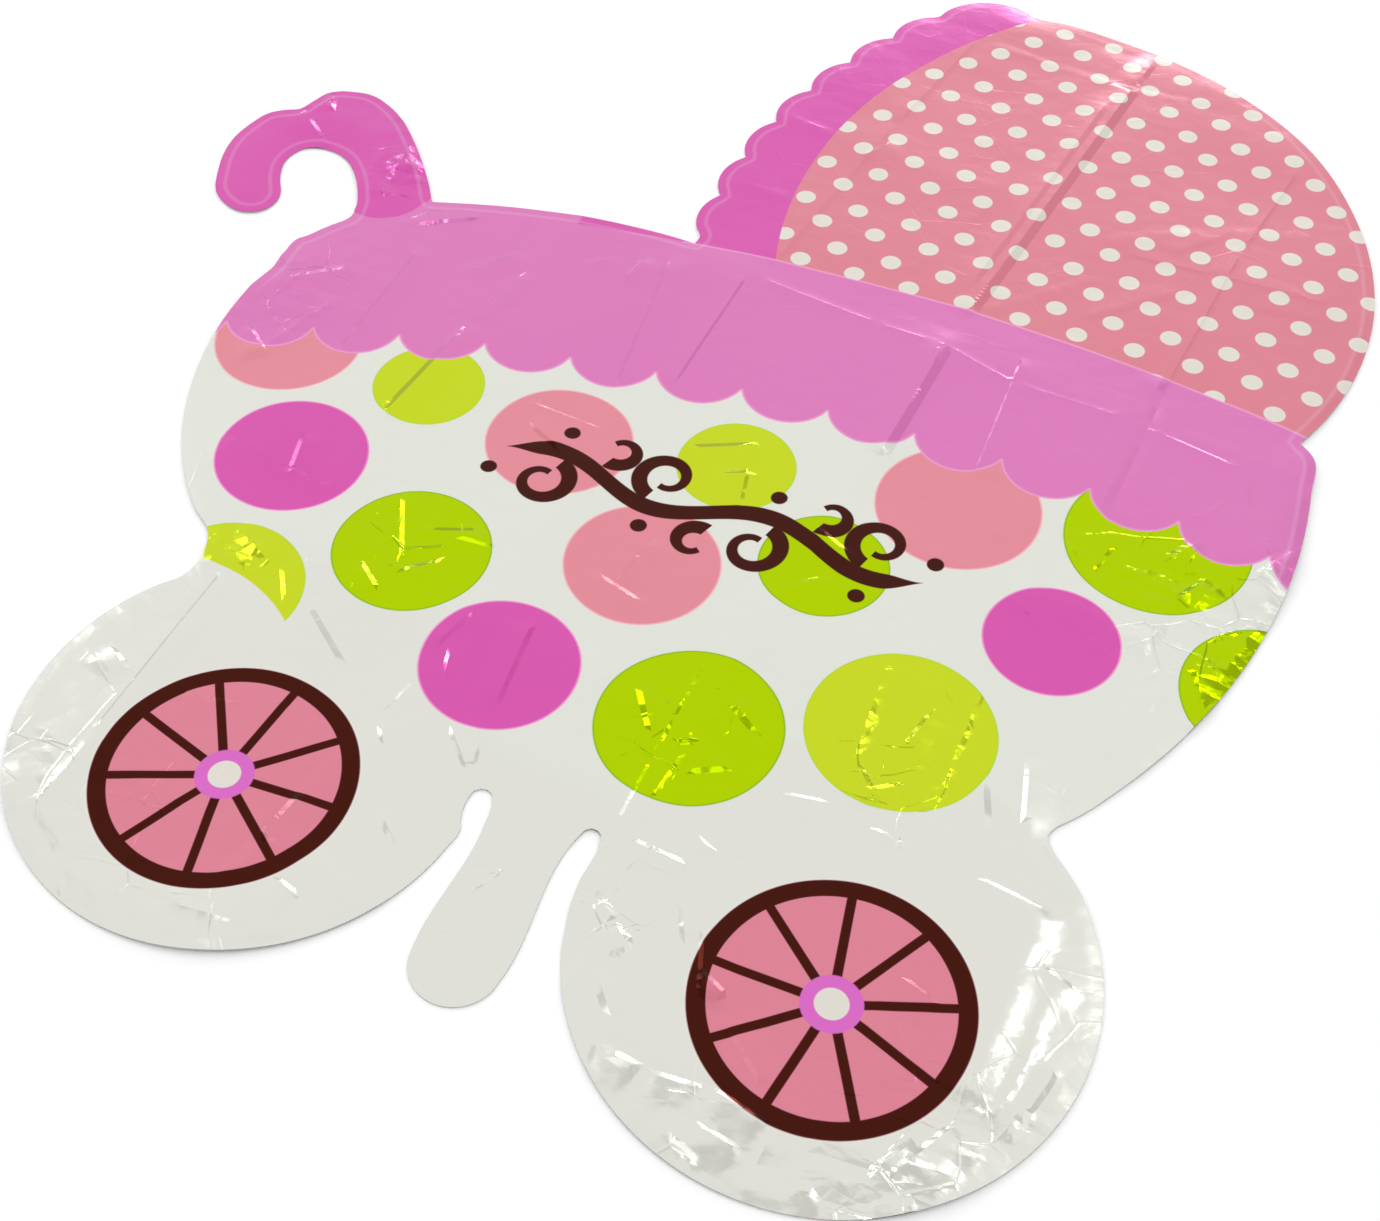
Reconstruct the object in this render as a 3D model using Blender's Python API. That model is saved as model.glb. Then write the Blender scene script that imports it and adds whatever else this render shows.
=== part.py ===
"""Baby carriage foil balloon, empty and lying face up as it comes out of its packet.

A printed front film and a plain back film have one outline and are sealed together round it.
Places are measured on the flat print, in metres, from the point midway between the two wheel hubs:
x runs from the handle towards the hood, y towards the top of the hood.
The finished part has its origin at the middle of its outline, on the surface that it lies on.
"""

import math

import bmesh
import bpy
import numpy as np
from mathutils import Vector

# Films
FILM_THICKNESS = 0.0006
FILM_GAP = 0.0003
SEAL_WIDTH = 0.006
AIR_HEIGHT = 0.002
AIR_REACH = 0.040

# Wheel lobes
LOBE_SPACING = 0.2735
LOBE_MIDDLE_X = -0.0035
LOBE_Y = 0.020
LEFT_LOBE_RADIUS = 0.106
RIGHT_LOBE_RADIUS = 0.110
LOBE_RADII = {-1: LEFT_LOBE_RADIUS, 1: RIGHT_LOBE_RADIUS}

# Tail with the filling neck, and the slits beside it
TAIL_X = -0.0057
TAIL_WIDTH = 0.0395
TAIL_LENGTH = 0.1025
TAIL_TOP_Y = 0.040
SLIT_TOP_Y = 0.0385
RIGHT_SLIT_WIDTH = 0.0092
LEFT_SLIT_WIDTH = 0.0104
LEFT_SLIT_LEAN = 0.0026

# Basket
BASKET_TOP_RADIUS = 0.370
BASKET_TOP_MIDDLE = (-0.1035, 0.412)
BASKET_LEFT_RADIUS = 0.184
BASKET_LEFT_CENTRE = (-0.113, 0.265)
BASKET_LEFT_TOP_Y = 0.300
BASKET_RIGHT_RADIUS = 0.3345
BASKET_RIGHT_CENTRE = (-0.072, 0.314)
BASKET_RIGHT_TOP_Y = 0.386
SHOULDER = ((-0.2953, 0.3215), (-0.2905, 0.3311), (-0.2825, 0.3493))
LEFT_NOTCH = (-0.2172, 0.1035)
RIGHT_NOTCH = (0.1972, 0.1130)
NOTCH_RISE = 0.0135

# Hood and its scalloped trim
HOOD_RADIUS = 0.221
HOOD_CENTRE = (0.044, 0.480)
HOOD_FOOT_Y = 0.397
HOOD_ROOT_Y = 0.350
TRIM_RADIUS = 0.380
TRIM_CENTRE = (0.282, 0.476)
TRIM_TOP_ANGLE = math.radians(148.0)
TRIM_SCALLOPS = 7
TRIM_SCALLOP_WIDTH = 0.0384
TRIM_SCALLOP_RISE = 0.007
TRIM_TIP_X = 0.015
TRIM_TIP_RISE = 0.016

# Handle: its back, its folded end and its inner side, each a smooth run of points
HANDLE_BACK = ((-0.232, 0.370), (-0.2435, 0.385), (-0.255, 0.4015), (-0.2745, 0.4246),
               (-0.2958, 0.4456), (-0.3127, 0.4561), (-0.326, 0.4592), (-0.341, 0.4551))
HANDLE_PLEAT = ((-0.3474, 0.4477), (-0.3507, 0.4384), (-0.3543, 0.4291))
HANDLE_END = ((-0.3628, 0.4244), (-0.371, 0.4165), (-0.3758, 0.397), (-0.3745, 0.379),
              (-0.3682, 0.3604), (-0.3585, 0.343), (-0.3417, 0.3343), (-0.329, 0.3378),
              (-0.324, 0.347), (-0.3255, 0.3575), (-0.3335, 0.3706), (-0.3382, 0.385),
              (-0.334, 0.3986), (-0.321, 0.4032), (-0.306, 0.3988), (-0.292, 0.3847),
              (-0.2816, 0.3677), (-0.2786, 0.3583), (-0.270, 0.342))

# Packet folds: how far each lies across or up the turned fold grid, and how high it stands
FOLD_TILT = math.radians(6.3)
FOLD_REACH = 0.028
UPRIGHT_FOLDS = ((-0.330, 0.0030), (-0.204, 0.0020), (-0.097, 0.0015),
                 (0.026, 0.0030), (0.142, 0.0026), (0.207, 0.0018))
LEVEL_FOLDS = ((0.664, 0.0012), (0.527, 0.0012), (0.392, 0.0022),
               (0.256, 0.0010), (0.112, 0.0016), (-0.036, 0.0014))
FOLD_CELL = 0.031

# Places where the edge curls up: x, y, how far it reaches, how high it stands
EDGE_CURLS = ((-0.300, 0.282, 0.080, 0.006), (0.261, 0.300, 0.060, 0.005),
              (0.205, 0.630, 0.070, 0.0045), (0.020, 0.700, 0.060, 0.004),
              (-0.115, -0.085, 0.065, 0.004), (-0.355, 0.442, 0.045, 0.004),
              (0.205, -0.070, 0.050, 0.003))

# Fineness
ARC_SAG = 0.0003
SHORT_EDGE = 0.0018
PLATE_HALF_HEIGHT = 0.010
PLATE_STEP = 0.001
WELD = 0.000005
CUT_WELD = 0.00001
SHARP_ANGLE = math.radians(30.0)

COLLECTION = "baby_carriage_foil_balloon"
FILM_COLOURS = {
    "front_film": ((0.72, 0.19, 0.46, 1.0), 0.35, 0.35),
    "back_film": ((0.72, 0.73, 0.71, 1.0), 0.32, 0.90),
}


def arc(centre, radius, start, end):
    """Points along an arc, close enough together that its chords sag by no more than ARC_SAG."""
    step = 2.0 * math.acos(max(0.0, 1.0 - ARC_SAG / radius))
    count = max(2, math.ceil(abs(end - start) / step))
    angles = [start + (end - start) * k / count for k in range(count + 1)]
    return [(centre[0] + radius * math.cos(a), centre[1] + radius * math.sin(a)) for a in angles]


def bump(start, end, rise):
    """A scallop from start to end: an arc that stands out by rise on the right of that line."""
    chord = math.dist(start, end)
    radius = (chord * chord / 4 + rise * rise) / (2 * rise)
    middle = ((start[0] + end[0]) / 2, (start[1] + end[1]) / 2)
    out = ((end[1] - start[1]) / chord, (start[0] - end[0]) / chord)
    centre = (middle[0] - out[0] * (radius - rise), middle[1] - out[1] * (radius - rise))
    facing = math.atan2(out[1], out[0])
    half = math.asin(min(1.0, chord / (2 * radius)))
    return arc(centre, radius, facing - half, facing + half)


def smooth_run(points, parts=3):
    """A curve through the points, with each span cut into equal parts."""
    ends = [points[0]] + list(points) + [points[-1]]
    run = []
    for a, b, c, d in zip(ends, ends[1:], ends[2:], ends[3:]):
        for k in range(parts):
            t = k / parts
            run.append(tuple(0.5 * (2 * b[i] + (c[i] - a[i]) * t
                                    + (2 * a[i] - 5 * b[i] + 4 * c[i] - d[i]) * t * t
                                    + (3 * b[i] - a[i] - 3 * c[i] + d[i]) * t ** 3)
                             for i in (0, 1)))
    return run + [tuple(points[-1])]


def side_at(centre, radius, y, side):
    """The point of a circle at height y, on its right (side 1) or left (side -1)."""
    return centre[0] + side * math.sqrt(radius ** 2 - (y - centre[1]) ** 2), y


def angle_of(centre, point):
    """The direction of a point seen from a centre, from 0 to a full turn."""
    return math.atan2(point[1] - centre[1], point[0] - centre[0]) % math.tau


def lobe_centre(side):
    """The middle of the right (side 1) or left (side -1) wheel lobe."""
    return LOBE_MIDDLE_X + side * LOBE_SPACING / 2, LOBE_Y


def lobe_outline(side):
    """A wheel lobe, a whole disc that the basket overlaps."""
    return arc(lobe_centre(side), LOBE_RADII[side], 0.0, math.tau)[:-1]


def stadium(start, end, width):
    """A straight band with round ends."""
    along = math.atan2(end[1] - start[1], end[0] - start[0])
    quarter = math.pi / 2
    return (arc(end, width / 2, along - quarter, along + quarter)
            + arc(start, width / 2, along + quarter, along + 3 * quarter))


def notch_run(side):
    """The rounded notch where the basket meets a wheel lobe, from the basket down to the lobe."""
    notch = RIGHT_NOTCH if side > 0 else LEFT_NOTCH
    centre = BASKET_RIGHT_CENTRE if side > 0 else BASKET_LEFT_CENTRE
    radius = BASKET_RIGHT_RADIUS if side > 0 else BASKET_LEFT_RADIUS
    above = side_at(centre, radius, notch[1] + NOTCH_RISE, side)
    below = side_at(lobe_centre(side), LOBE_RADII[side], notch[1] - NOTCH_RISE, side)
    return smooth_run((above, notch, below))


def basket_outline():
    """The basket: two bowed sides and a bowed top edge, closed below inside the wheel lobes."""
    right_notch, left_notch = notch_run(1), notch_run(-1)
    right_high = side_at(BASKET_RIGHT_CENTRE, BASKET_RIGHT_RADIUS, BASKET_RIGHT_TOP_Y, 1)
    left_high = side_at(BASKET_LEFT_CENTRE, BASKET_LEFT_RADIUS, BASKET_LEFT_TOP_Y, -1)
    top_centre = (BASKET_TOP_MIDDLE[0], BASKET_TOP_MIDDLE[1] - BASKET_TOP_RADIUS)
    points = arc(BASKET_RIGHT_CENTRE, BASKET_RIGHT_RADIUS,
                 angle_of(BASKET_RIGHT_CENTRE, right_notch[0]) - math.tau,
                 angle_of(BASKET_RIGHT_CENTRE, right_high))
    points += [side_at(HOOD_CENTRE, HOOD_RADIUS - SEAL_WIDTH, HOOD_FOOT_Y, 1)]
    points += arc(top_centre, BASKET_TOP_RADIUS, math.pi / 2, angle_of(top_centre, handle_root()))
    points += smooth_run([HANDLE_END[-2], *SHOULDER[::-1], left_high])[:-1]
    points += arc(BASKET_LEFT_CENTRE, BASKET_LEFT_RADIUS, angle_of(BASKET_LEFT_CENTRE, left_high),
                  angle_of(BASKET_LEFT_CENTRE, left_notch[0]))
    return points + left_notch[1:] + [lobe_centre(-1), lobe_centre(1)] + right_notch[:0:-1]


def handle_root():
    """The middle of the handle, where it rises from the basket."""
    return tuple((back + end) / 2 for back, end in zip(HANDLE_BACK[1], HANDLE_END[-3]))


def hood_outline():
    """The hood and its trim: the round back of the hood, then the scallops down the front."""
    low = angle_of(HOOD_CENTRE, side_at(HOOD_CENTRE, HOOD_RADIUS, HOOD_ROOT_Y, 1))
    reach = TRIM_TIP_X - HOOD_CENTRE[0]
    tip = (TRIM_TIP_X, HOOD_CENTRE[1] + math.sqrt(HOOD_RADIUS ** 2 - reach ** 2))
    points = arc(HOOD_CENTRE, HOOD_RADIUS, low - math.tau, angle_of(HOOD_CENTRE, tip))
    turn = TRIM_SCALLOP_WIDTH / TRIM_RADIUS
    ends = [tip] + [(TRIM_CENTRE[0] + TRIM_RADIUS * math.cos(TRIM_TOP_ANGLE + k * turn),
                     TRIM_CENTRE[1] + TRIM_RADIUS * math.sin(TRIM_TOP_ANGLE + k * turn))
                    for k in range(TRIM_SCALLOPS + 1)]
    for k, (start, end) in enumerate(zip(ends, ends[1:])):
        points += bump(start, end, TRIM_SCALLOP_RISE if k else TRIM_TIP_RISE)[1:]
    return points + [(ends[-1][0], HANDLE_BACK[0][1])]


def handle_outline():
    """The handle: it leaves the basket, turns over and hooks back down, with a pleat in the bend."""
    return smooth_run(HANDLE_BACK) + smooth_run(HANDLE_PLEAT) + smooth_run(HANDLE_END)


def tail_outline():
    """The tail below the basket, round at its end."""
    end_y = TAIL_TOP_Y - TAIL_LENGTH + TAIL_WIDTH / 2
    return stadium((TAIL_X, TAIL_TOP_Y + TAIL_WIDTH), (TAIL_X, end_y), TAIL_WIDTH)


def slit_outline(side):
    """The slit between the tail and a wheel lobe, round at its top and open at its foot."""
    width = RIGHT_SLIT_WIDTH if side > 0 else LEFT_SLIT_WIDTH
    lean = 0.0 if side > 0 else -LEFT_SLIT_LEAN
    x = TAIL_X + side * (TAIL_WIDTH + width) / 2
    return stadium((x + lean, SLIT_TOP_Y - width / 2), (x, LOBE_Y), width)


def plate(name, outline, half_height, collection):
    """A flat plate of the outline, from a filled 2D curve."""
    curve = bpy.data.curves.new(name, "CURVE")
    curve.dimensions = "2D"
    curve.fill_mode = "BOTH"
    curve.extrude = half_height
    spline = curve.splines.new("POLY")
    spline.points.add(len(outline) - 1)
    for point, (x, y) in zip(spline.points, outline):
        point.co = (x, y, 0.0, 1.0)
    spline.use_cyclic_u = True
    drawn = bpy.data.objects.new(name + "_curve", curve)
    collection.objects.link(drawn)
    mesh = bpy.data.meshes.new_from_object(drawn.evaluated_get(bpy.context.evaluated_depsgraph_get()))
    bpy.data.objects.remove(drawn)
    work = bmesh.new()
    work.from_mesh(mesh)
    bmesh.ops.remove_doubles(work, verts=work.verts, dist=WELD)
    bmesh.ops.recalc_face_normals(work, faces=work.faces)
    work.to_mesh(mesh)
    work.free()
    made = bpy.data.objects.new(name, mesh)
    made.hide_render = True
    made.display_type = "WIRE"
    collection.objects.link(made)
    return made


def outline_face(cutters):
    """The balloon's outline as one flat face: all plates joined, the slits cut, sliced at mid height."""
    base = plate("basket_plate", basket_outline(), PLATE_HALF_HEIGHT, cutters)
    joins = [("hood_plate", hood_outline(), "UNION"), ("handle_plate", handle_outline(), "UNION"),
             ("tail_plate", tail_outline(), "UNION")]
    joins += [("lobe_plate", lobe_outline(side), "UNION") for side in (-1, 1)]
    joins += [("slit_cutter", slit_outline(side), "DIFFERENCE") for side in (-1, 1)]
    for number, (name, outline, operation) in enumerate(joins, 1):
        join = base.modifiers.new(name, "BOOLEAN")
        join.operation = operation
        join.object = plate(name, outline, PLATE_HALF_HEIGHT + number * PLATE_STEP, cutters)
    joined = base.evaluated_get(bpy.context.evaluated_depsgraph_get())
    work = bmesh.new()
    work.from_mesh(joined.to_mesh())
    bmesh.ops.bisect_plane(work, geom=work.verts[:] + work.edges[:] + work.faces[:], dist=WELD,
                           plane_co=(0, 0, 0), plane_no=(0, 0, 1), clear_inner=True, clear_outer=True)
    bmesh.ops.dissolve_degenerate(work, edges=work.edges, dist=SHORT_EDGE)
    bmesh.ops.edgeloop_fill(work, edges=work.edges)
    work.normal_update()
    if work.faces[:][0].normal.z < 0:
        bmesh.ops.reverse_faces(work, faces=work.faces)
    return work


def outline_distance(points, loops):
    """How far each point lies inside the outline."""
    nearest = np.full(len(points), np.inf)
    for start, end in loops:
        along = end - start
        share = np.clip(((points - start) @ along) / (along @ along), 0.0, 1.0)
        nearest = np.minimum(nearest, np.hypot(*(points - start - share[:, None] * along).T))
    return nearest


def ridge(offset, height):
    """A fold's rise at some distance from its line."""
    return height * np.clip(1.0 - np.abs(offset) / FOLD_REACH, 0.0, 1.0)


def ease(share):
    """A soft step from 0 to 1."""
    share = np.clip(share, 0.0, 1.0)
    return share * share * (3.0 - 2.0 * share)


def off_the_tail(points):
    """0 on the tail, which stays pressed flat, and 1 everywhere else."""
    beside = ease((np.abs(points[:, 0] - TAIL_X) - TAIL_WIDTH / 2) / TAIL_WIDTH)
    above = ease((points[:, 1] - TAIL_TOP_Y / 2) / TAIL_WIDTH)
    return np.maximum(beside, above)


def resting_height(points):
    """How high the back film lies: folds and curled edges, both of which lift the two films."""
    across = points[:, 0] * math.cos(FOLD_TILT) - points[:, 1] * math.sin(FOLD_TILT)
    up = points[:, 0] * math.sin(FOLD_TILT) + points[:, 1] * math.cos(FOLD_TILT)
    height = sum(ridge(across - place, rise) for place, rise in UPRIGHT_FOLDS)
    height = height + sum(ridge(up - place, rise) for place, rise in LEVEL_FOLDS)
    for x, y, reach, rise in EDGE_CURLS:
        away = np.hypot(points[:, 0] - x, points[:, 1] - y)
        height = height + rise * ease(1.0 - away / reach)
    return height * off_the_tail(points)


def air_height(points, inside):
    """How far the two films stand apart: nothing in the seal, then swelling to the full height."""
    share = np.clip((inside - SEAL_WIDTH) / AIR_REACH, 0.0, 1.0)
    return AIR_HEIGHT * (1.0 - (1.0 - share) ** 3) * off_the_tail(points)


def cut_places(folds, low, high):
    """Every fold, with the spans between them cut evenly into cells of about FOLD_CELL."""
    places = [low] + sorted(place for place, _ in folds if low < place < high) + [high]
    cuts = []
    for start, end in zip(places, places[1:]):
        count = max(1, round((end - start) / FOLD_CELL))
        cuts += [start + (end - start) * k / count for k in range(count)]
    return cuts[1:]


def film_sheet(cutters):
    """The flat sheet that both films are cut to: seal band, fold lines and cells between them."""
    work = outline_face(cutters)
    bmesh.ops.inset_region(work, faces=work.faces[:], thickness=SEAL_WIDTH, use_even_offset=True,
                           use_boundary=True)
    corners = [vert.co.copy() for vert in work.verts]
    across = Vector((math.cos(FOLD_TILT), -math.sin(FOLD_TILT), 0.0))
    up = Vector((math.sin(FOLD_TILT), math.cos(FOLD_TILT), 0.0))
    for facing, folds in ((across, UPRIGHT_FOLDS), (up, LEVEL_FOLDS)):
        reach = [facing.dot(corner) for corner in corners]
        for place in cut_places(folds, min(reach), max(reach)):
            bmesh.ops.bisect_plane(work, geom=work.verts[:] + work.edges[:] + work.faces[:],
                                   dist=CUT_WELD, plane_co=facing * place, plane_no=facing)
    return work


def film(name, sheet, heights, centre, collection):
    """One film: the sheet set to its heights and given its thickness."""
    work = sheet.copy()
    for vert, height in zip(work.verts, heights):
        vert.co = (vert.co.x - centre[0], vert.co.y - centre[1], height)
    bmesh.ops.triangulate(work, faces=work.faces[:])
    raised = bmesh.ops.extrude_face_region(work, geom=work.faces[:], use_keep_orig=True)
    top = [item for item in raised["geom"] if isinstance(item, bmesh.types.BMVert)]
    bmesh.ops.translate(work, verts=top, vec=(0.0, 0.0, FILM_THICKNESS))
    bmesh.ops.recalc_face_normals(work, faces=work.faces)
    mesh = bpy.data.meshes.new(name)
    work.to_mesh(mesh)
    work.free()
    mesh.shade_smooth()
    mesh.set_sharp_from_angle(angle=SHARP_ANGLE)
    colour, roughness, metallic = FILM_COLOURS[name]
    material = bpy.data.materials.new(name + "_print")
    material.use_nodes = True
    surface = material.node_tree.nodes["Principled BSDF"]
    surface.inputs["Base Color"].default_value = colour
    surface.inputs["Roughness"].default_value = roughness
    surface.inputs["Metallic"].default_value = metallic
    material.diffuse_color = colour
    mesh.materials.append(material)
    made = bpy.data.objects.new(name, mesh)
    collection.objects.link(made)
    return made


def build():
    """Both films, one over the other."""
    for old in list(bpy.data.objects):
        bpy.data.objects.remove(old)
    parts = bpy.data.collections.new(COLLECTION)
    cutters = bpy.data.collections.new("plates_and_cutters")
    bpy.context.scene.collection.children.link(parts)
    bpy.context.scene.collection.children.link(cutters)
    sheet = film_sheet(cutters)
    points = np.array([vert.co.xy[:] for vert in sheet.verts])
    border = [(np.array(edge.verts[0].co.xy[:]), np.array(edge.verts[1].co.xy[:]))
              for edge in sheet.edges if edge.is_boundary]
    centre = (points.min(axis=0) + points.max(axis=0)) / 2
    inside = outline_distance(points, border)
    resting = resting_height(points)
    standing = resting + FILM_THICKNESS + FILM_GAP + air_height(points, inside)
    film("back_film", sheet, resting, centre, parts)
    film("front_film", sheet, standing, centre, parts)
    sheet.free()


build()
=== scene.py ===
"""Looks of an empty baby carriage foil balloon that lies flat: two crumpled films, the print and a studio.

Lengths are in metres. Creases and the print are placed on the flat print, measured from the point midway
between the two wheel hubs: x runs from the handle towards the hood, y towards the top of the hood.
"""
import logging
import math
from dataclasses import dataclass, field
from enum import Enum

import bmesh
import bpy
import numpy as np
from mathutils import Matrix, Vector
from mathutils.geometry import delaunay_2d_cdt
from mathutils.kdtree import KDTree


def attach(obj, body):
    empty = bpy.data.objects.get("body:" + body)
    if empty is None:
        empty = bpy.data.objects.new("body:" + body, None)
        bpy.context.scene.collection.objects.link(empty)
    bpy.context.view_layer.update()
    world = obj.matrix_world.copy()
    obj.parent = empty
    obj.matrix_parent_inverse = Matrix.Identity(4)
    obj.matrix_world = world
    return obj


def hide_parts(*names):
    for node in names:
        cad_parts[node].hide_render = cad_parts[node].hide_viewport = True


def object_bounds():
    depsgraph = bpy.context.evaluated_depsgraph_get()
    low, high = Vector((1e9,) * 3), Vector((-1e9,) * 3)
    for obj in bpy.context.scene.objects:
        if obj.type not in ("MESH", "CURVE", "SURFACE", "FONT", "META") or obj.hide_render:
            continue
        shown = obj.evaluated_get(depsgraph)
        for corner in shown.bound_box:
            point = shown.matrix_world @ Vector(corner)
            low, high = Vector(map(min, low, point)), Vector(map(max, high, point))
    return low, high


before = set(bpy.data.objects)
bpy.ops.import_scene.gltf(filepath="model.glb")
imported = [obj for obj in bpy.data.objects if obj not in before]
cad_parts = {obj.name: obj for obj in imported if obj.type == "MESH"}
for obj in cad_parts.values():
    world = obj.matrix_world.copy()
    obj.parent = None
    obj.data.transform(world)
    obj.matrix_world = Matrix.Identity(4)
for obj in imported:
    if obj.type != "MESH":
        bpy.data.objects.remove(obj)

LOG = logging.getLogger("foil_balloon")
CAD_BOX = [list(corner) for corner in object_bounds()]

# The hood's right edge and the right wheel lobe's foot, on the print, lie on the sides of the CAD box
HOOD_RIGHT_X = 0.2650
LOBE_FOOT_Y = -0.0900
PRINT_ORIGIN = (CAD_BOX[1][0] - HOOD_RIGHT_X, CAD_BOX[0][1] - LOBE_FOOT_Y)

# Half the blur of a sharp printed edge, and the width of the white line round a printed wheel
SHARP = 0.0003
WHEEL_KEYLINE = 0.0011

Socket = bpy.types.NodeSocket
Place = tuple[float, float]


def ease(share: np.ndarray) -> np.ndarray:
    """A soft step from 0 to 1."""
    share = np.clip(share, 0.0, 1.0)
    return share * share * (3.0 - 2.0 * share)


def srgb(red: int, green: int, blue: int) -> tuple[float, float, float, float]:
    """A colour read off a screen, as the linear values that shaders use.

    Args:
        red: The red level, 0 to 255.
        green: The green level.
        blue: The blue level.

    Returns:
        Red, green, blue and alpha.
    """
    def linear(level: int) -> float:
        """One level as a linear value."""
        share = level / 255.0
        return share / 12.92 if share <= 0.04045 else ((share + 0.055) / 1.055) ** 2.4
    return linear(red), linear(green), linear(blue), 1.0


def apart(places: np.ndarray, others: np.ndarray, gap: float) -> np.ndarray:
    """The places that keep a gap from other places, or from one another where there are none.

    Args:
        places: Rows of x and y.
        others: The places to keep clear of.
        gap: The least distance.

    Returns:
        The rows that stay.
    """
    alone = len(others) == 0
    field_of = places if alone else others
    tree = KDTree(len(field_of))
    for number, place in enumerate(field_of):
        tree.insert((*place, 0.0), number)
    tree.balance()
    if not alone:
        return places[np.array([tree.find((*place, 0.0))[2] > gap for place in places])]
    keep = np.ones(len(places), bool)
    for number, place in enumerate(places):
        if keep[number]:
            for _, other, _ in tree.find_range((*place, 0.0), gap):
                keep[other] = keep[other] and other <= number
    return places[keep]


@dataclass
class Outline:
    """The balloon's edge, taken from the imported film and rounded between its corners.

    Args:
        node: The CAD node whose top face gives the edge.
        spacing: How far apart the points along the edge are.
        corner: The turn past which a corner stays sharp.
        same_place: How near a knot is to the last one where it is left out.
        straight: The turn below which a knot is left out.
        same_vertex: How near the solid's corners are that become one.
        row_slack: The share of its depth that a row's point keeps from every part of the edge.
    """
    node: str
    spacing: float = 0.0024
    corner: float = math.radians(50.0)
    same_place: float = 0.0010
    straight: float = math.radians(0.5)
    same_vertex: float = 0.00002
    row_slack: float = 0.97

    def __post_init__(self) -> None:
        """Reads the edge and lays the fine points along it."""
        self.points = self.rounded(self.knots())
        self.lengths = np.hypot(*(np.roll(self.points, -1, axis=0) - self.points).T)
        self.along = np.concatenate([[0.0], np.cumsum(self.lengths)[:-1]])

    def knots(self) -> np.ndarray:
        """The corners of the faceted edge, anticlockwise, on the print.

        Returns:
            One row of x and y for each corner.
        """
        work = bmesh.new()
        work.from_mesh(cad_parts[self.node].data)
        bmesh.ops.remove_doubles(work, verts=work.verts, dist=self.same_vertex)
        work.normal_update()
        top = {face for face in work.faces if face.normal.z > 0.5}
        rim = {edge for edge in work.edges if sum(face in top for face in edge.link_faces) == 1}
        first = min(rim, key=lambda edge: edge.verts[0].co.x)
        face = next(face for face in first.link_faces if face in top)
        loop = next(loop for loop in face.loops if loop.edge == first)
        start, here = loop.vert, loop.link_loop_next.vert
        run, edge = [start], first
        while here != start:
            run.append(here)
            edge = next(e for e in here.link_edges if e in rim and e != edge)
            here = edge.other_vert(here)
        flat = np.array([vert.co.xy[:] for vert in run]) - PRINT_ORIGIN
        work.free()
        far = [flat[0]]
        for point in flat[1:]:
            if math.dist(point, far[-1]) > self.same_place:
                far.append(point)
        far = np.array(far)
        return far[np.abs(self.turns(far)) > self.straight]

    @staticmethod
    def turns(run: np.ndarray) -> np.ndarray:
        """How far a closed run of points turns at each of them.

        Args:
            run: The points in order, one row each.

        Returns:
            The turn at each point, in radians.
        """
        ahead = np.roll(run, -1, axis=0) - run
        behind = run - np.roll(run, 1, axis=0)
        cross = behind[:, 0] * ahead[:, 1] - behind[:, 1] * ahead[:, 0]
        return np.arctan2(cross, (behind * ahead).sum(axis=1))

    def rounded(self, knots: np.ndarray) -> np.ndarray:
        """A smooth run through the knots that keeps the sharp corners.

        Args:
            knots: The corners of the faceted edge.

        Returns:
            Points about one spacing apart.
        """
        sharp = np.abs(self.turns(knots)) > self.corner
        span = np.roll(knots, -1, axis=0) - knots
        reach = np.hypot(*span.T)
        slope = span / reach[:, None]
        before = np.roll(slope, 1, axis=0)
        weight = (np.roll(reach, 1) / (np.roll(reach, 1) + reach))[:, None]
        tangent = before * (1.0 - weight) + slope * weight
        run = []
        count = len(knots)
        for k in range(count):
            n = (k + 1) % count
            leave, arrive = tangent[k], tangent[n]
            if sharp[k]:
                leave = 1.5 * slope[k] - 0.5 * arrive
            if sharp[n]:
                arrive = 1.5 * slope[k] - 0.5 * leave
            steps = max(1, round(reach[k] / self.spacing))
            for t in np.arange(steps) / steps:
                run.append((2 * t ** 3 - 3 * t ** 2 + 1) * knots[k] + (3 * t ** 2 - 2 * t ** 3) * knots[n]
                           + reach[k] * ((t ** 3 - 2 * t ** 2 + t) * leave + (t ** 3 - t ** 2) * arrive))
        return np.array(run)

    def nearest(self, places: np.ndarray) -> tuple[np.ndarray, np.ndarray]:
        """How far each place is from the edge, and where along it the nearest point is.

        Args:
            places: Rows of x and y on the print.

        Returns:
            The distances, and the lengths along the edge.
        """
        tree = KDTree(len(self.points))
        for number, point in enumerate(self.points):
            tree.insert((*point, 0.0), number)
        tree.balance()
        close = np.array([tree.find((*place, 0.0))[1] for place in places])
        gaps, runs = [], []
        for first in (close - 1, close):
            first = first % len(self.points)
            span = self.points[(first + 1) % len(self.points)] - self.points[first]
            away = places - self.points[first]
            share = np.clip((away * span).sum(axis=1) / (span ** 2).sum(axis=1), 0.0, 1.0)
            gaps.append(np.hypot(*(away - share[:, None] * span).T))
            runs.append(self.along[first] + share * self.lengths[first])
        nearer = gaps[0] < gaps[1]
        return np.where(nearer, *gaps), np.where(nearer, *runs)

    def holds(self, places: np.ndarray) -> np.ndarray:
        """Whether each place lies inside the edge.

        Args:
            places: Rows of x and y on the print.

        Returns:
            One answer for each place.
        """
        ends = np.roll(self.points, -1, axis=0)
        x, y = places[:, :1], places[:, 1:]
        over = (self.points[:, 1] > y) != (ends[:, 1] > y)
        rise = np.where(ends[:, 1] == self.points[:, 1], 1.0, ends[:, 1] - self.points[:, 1])
        cross = self.points[:, 0] + (y - self.points[:, 1]) / rise * (ends[:, 0] - self.points[:, 0])
        return (over & (cross > x)).sum(axis=1) % 2 == 1

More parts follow.
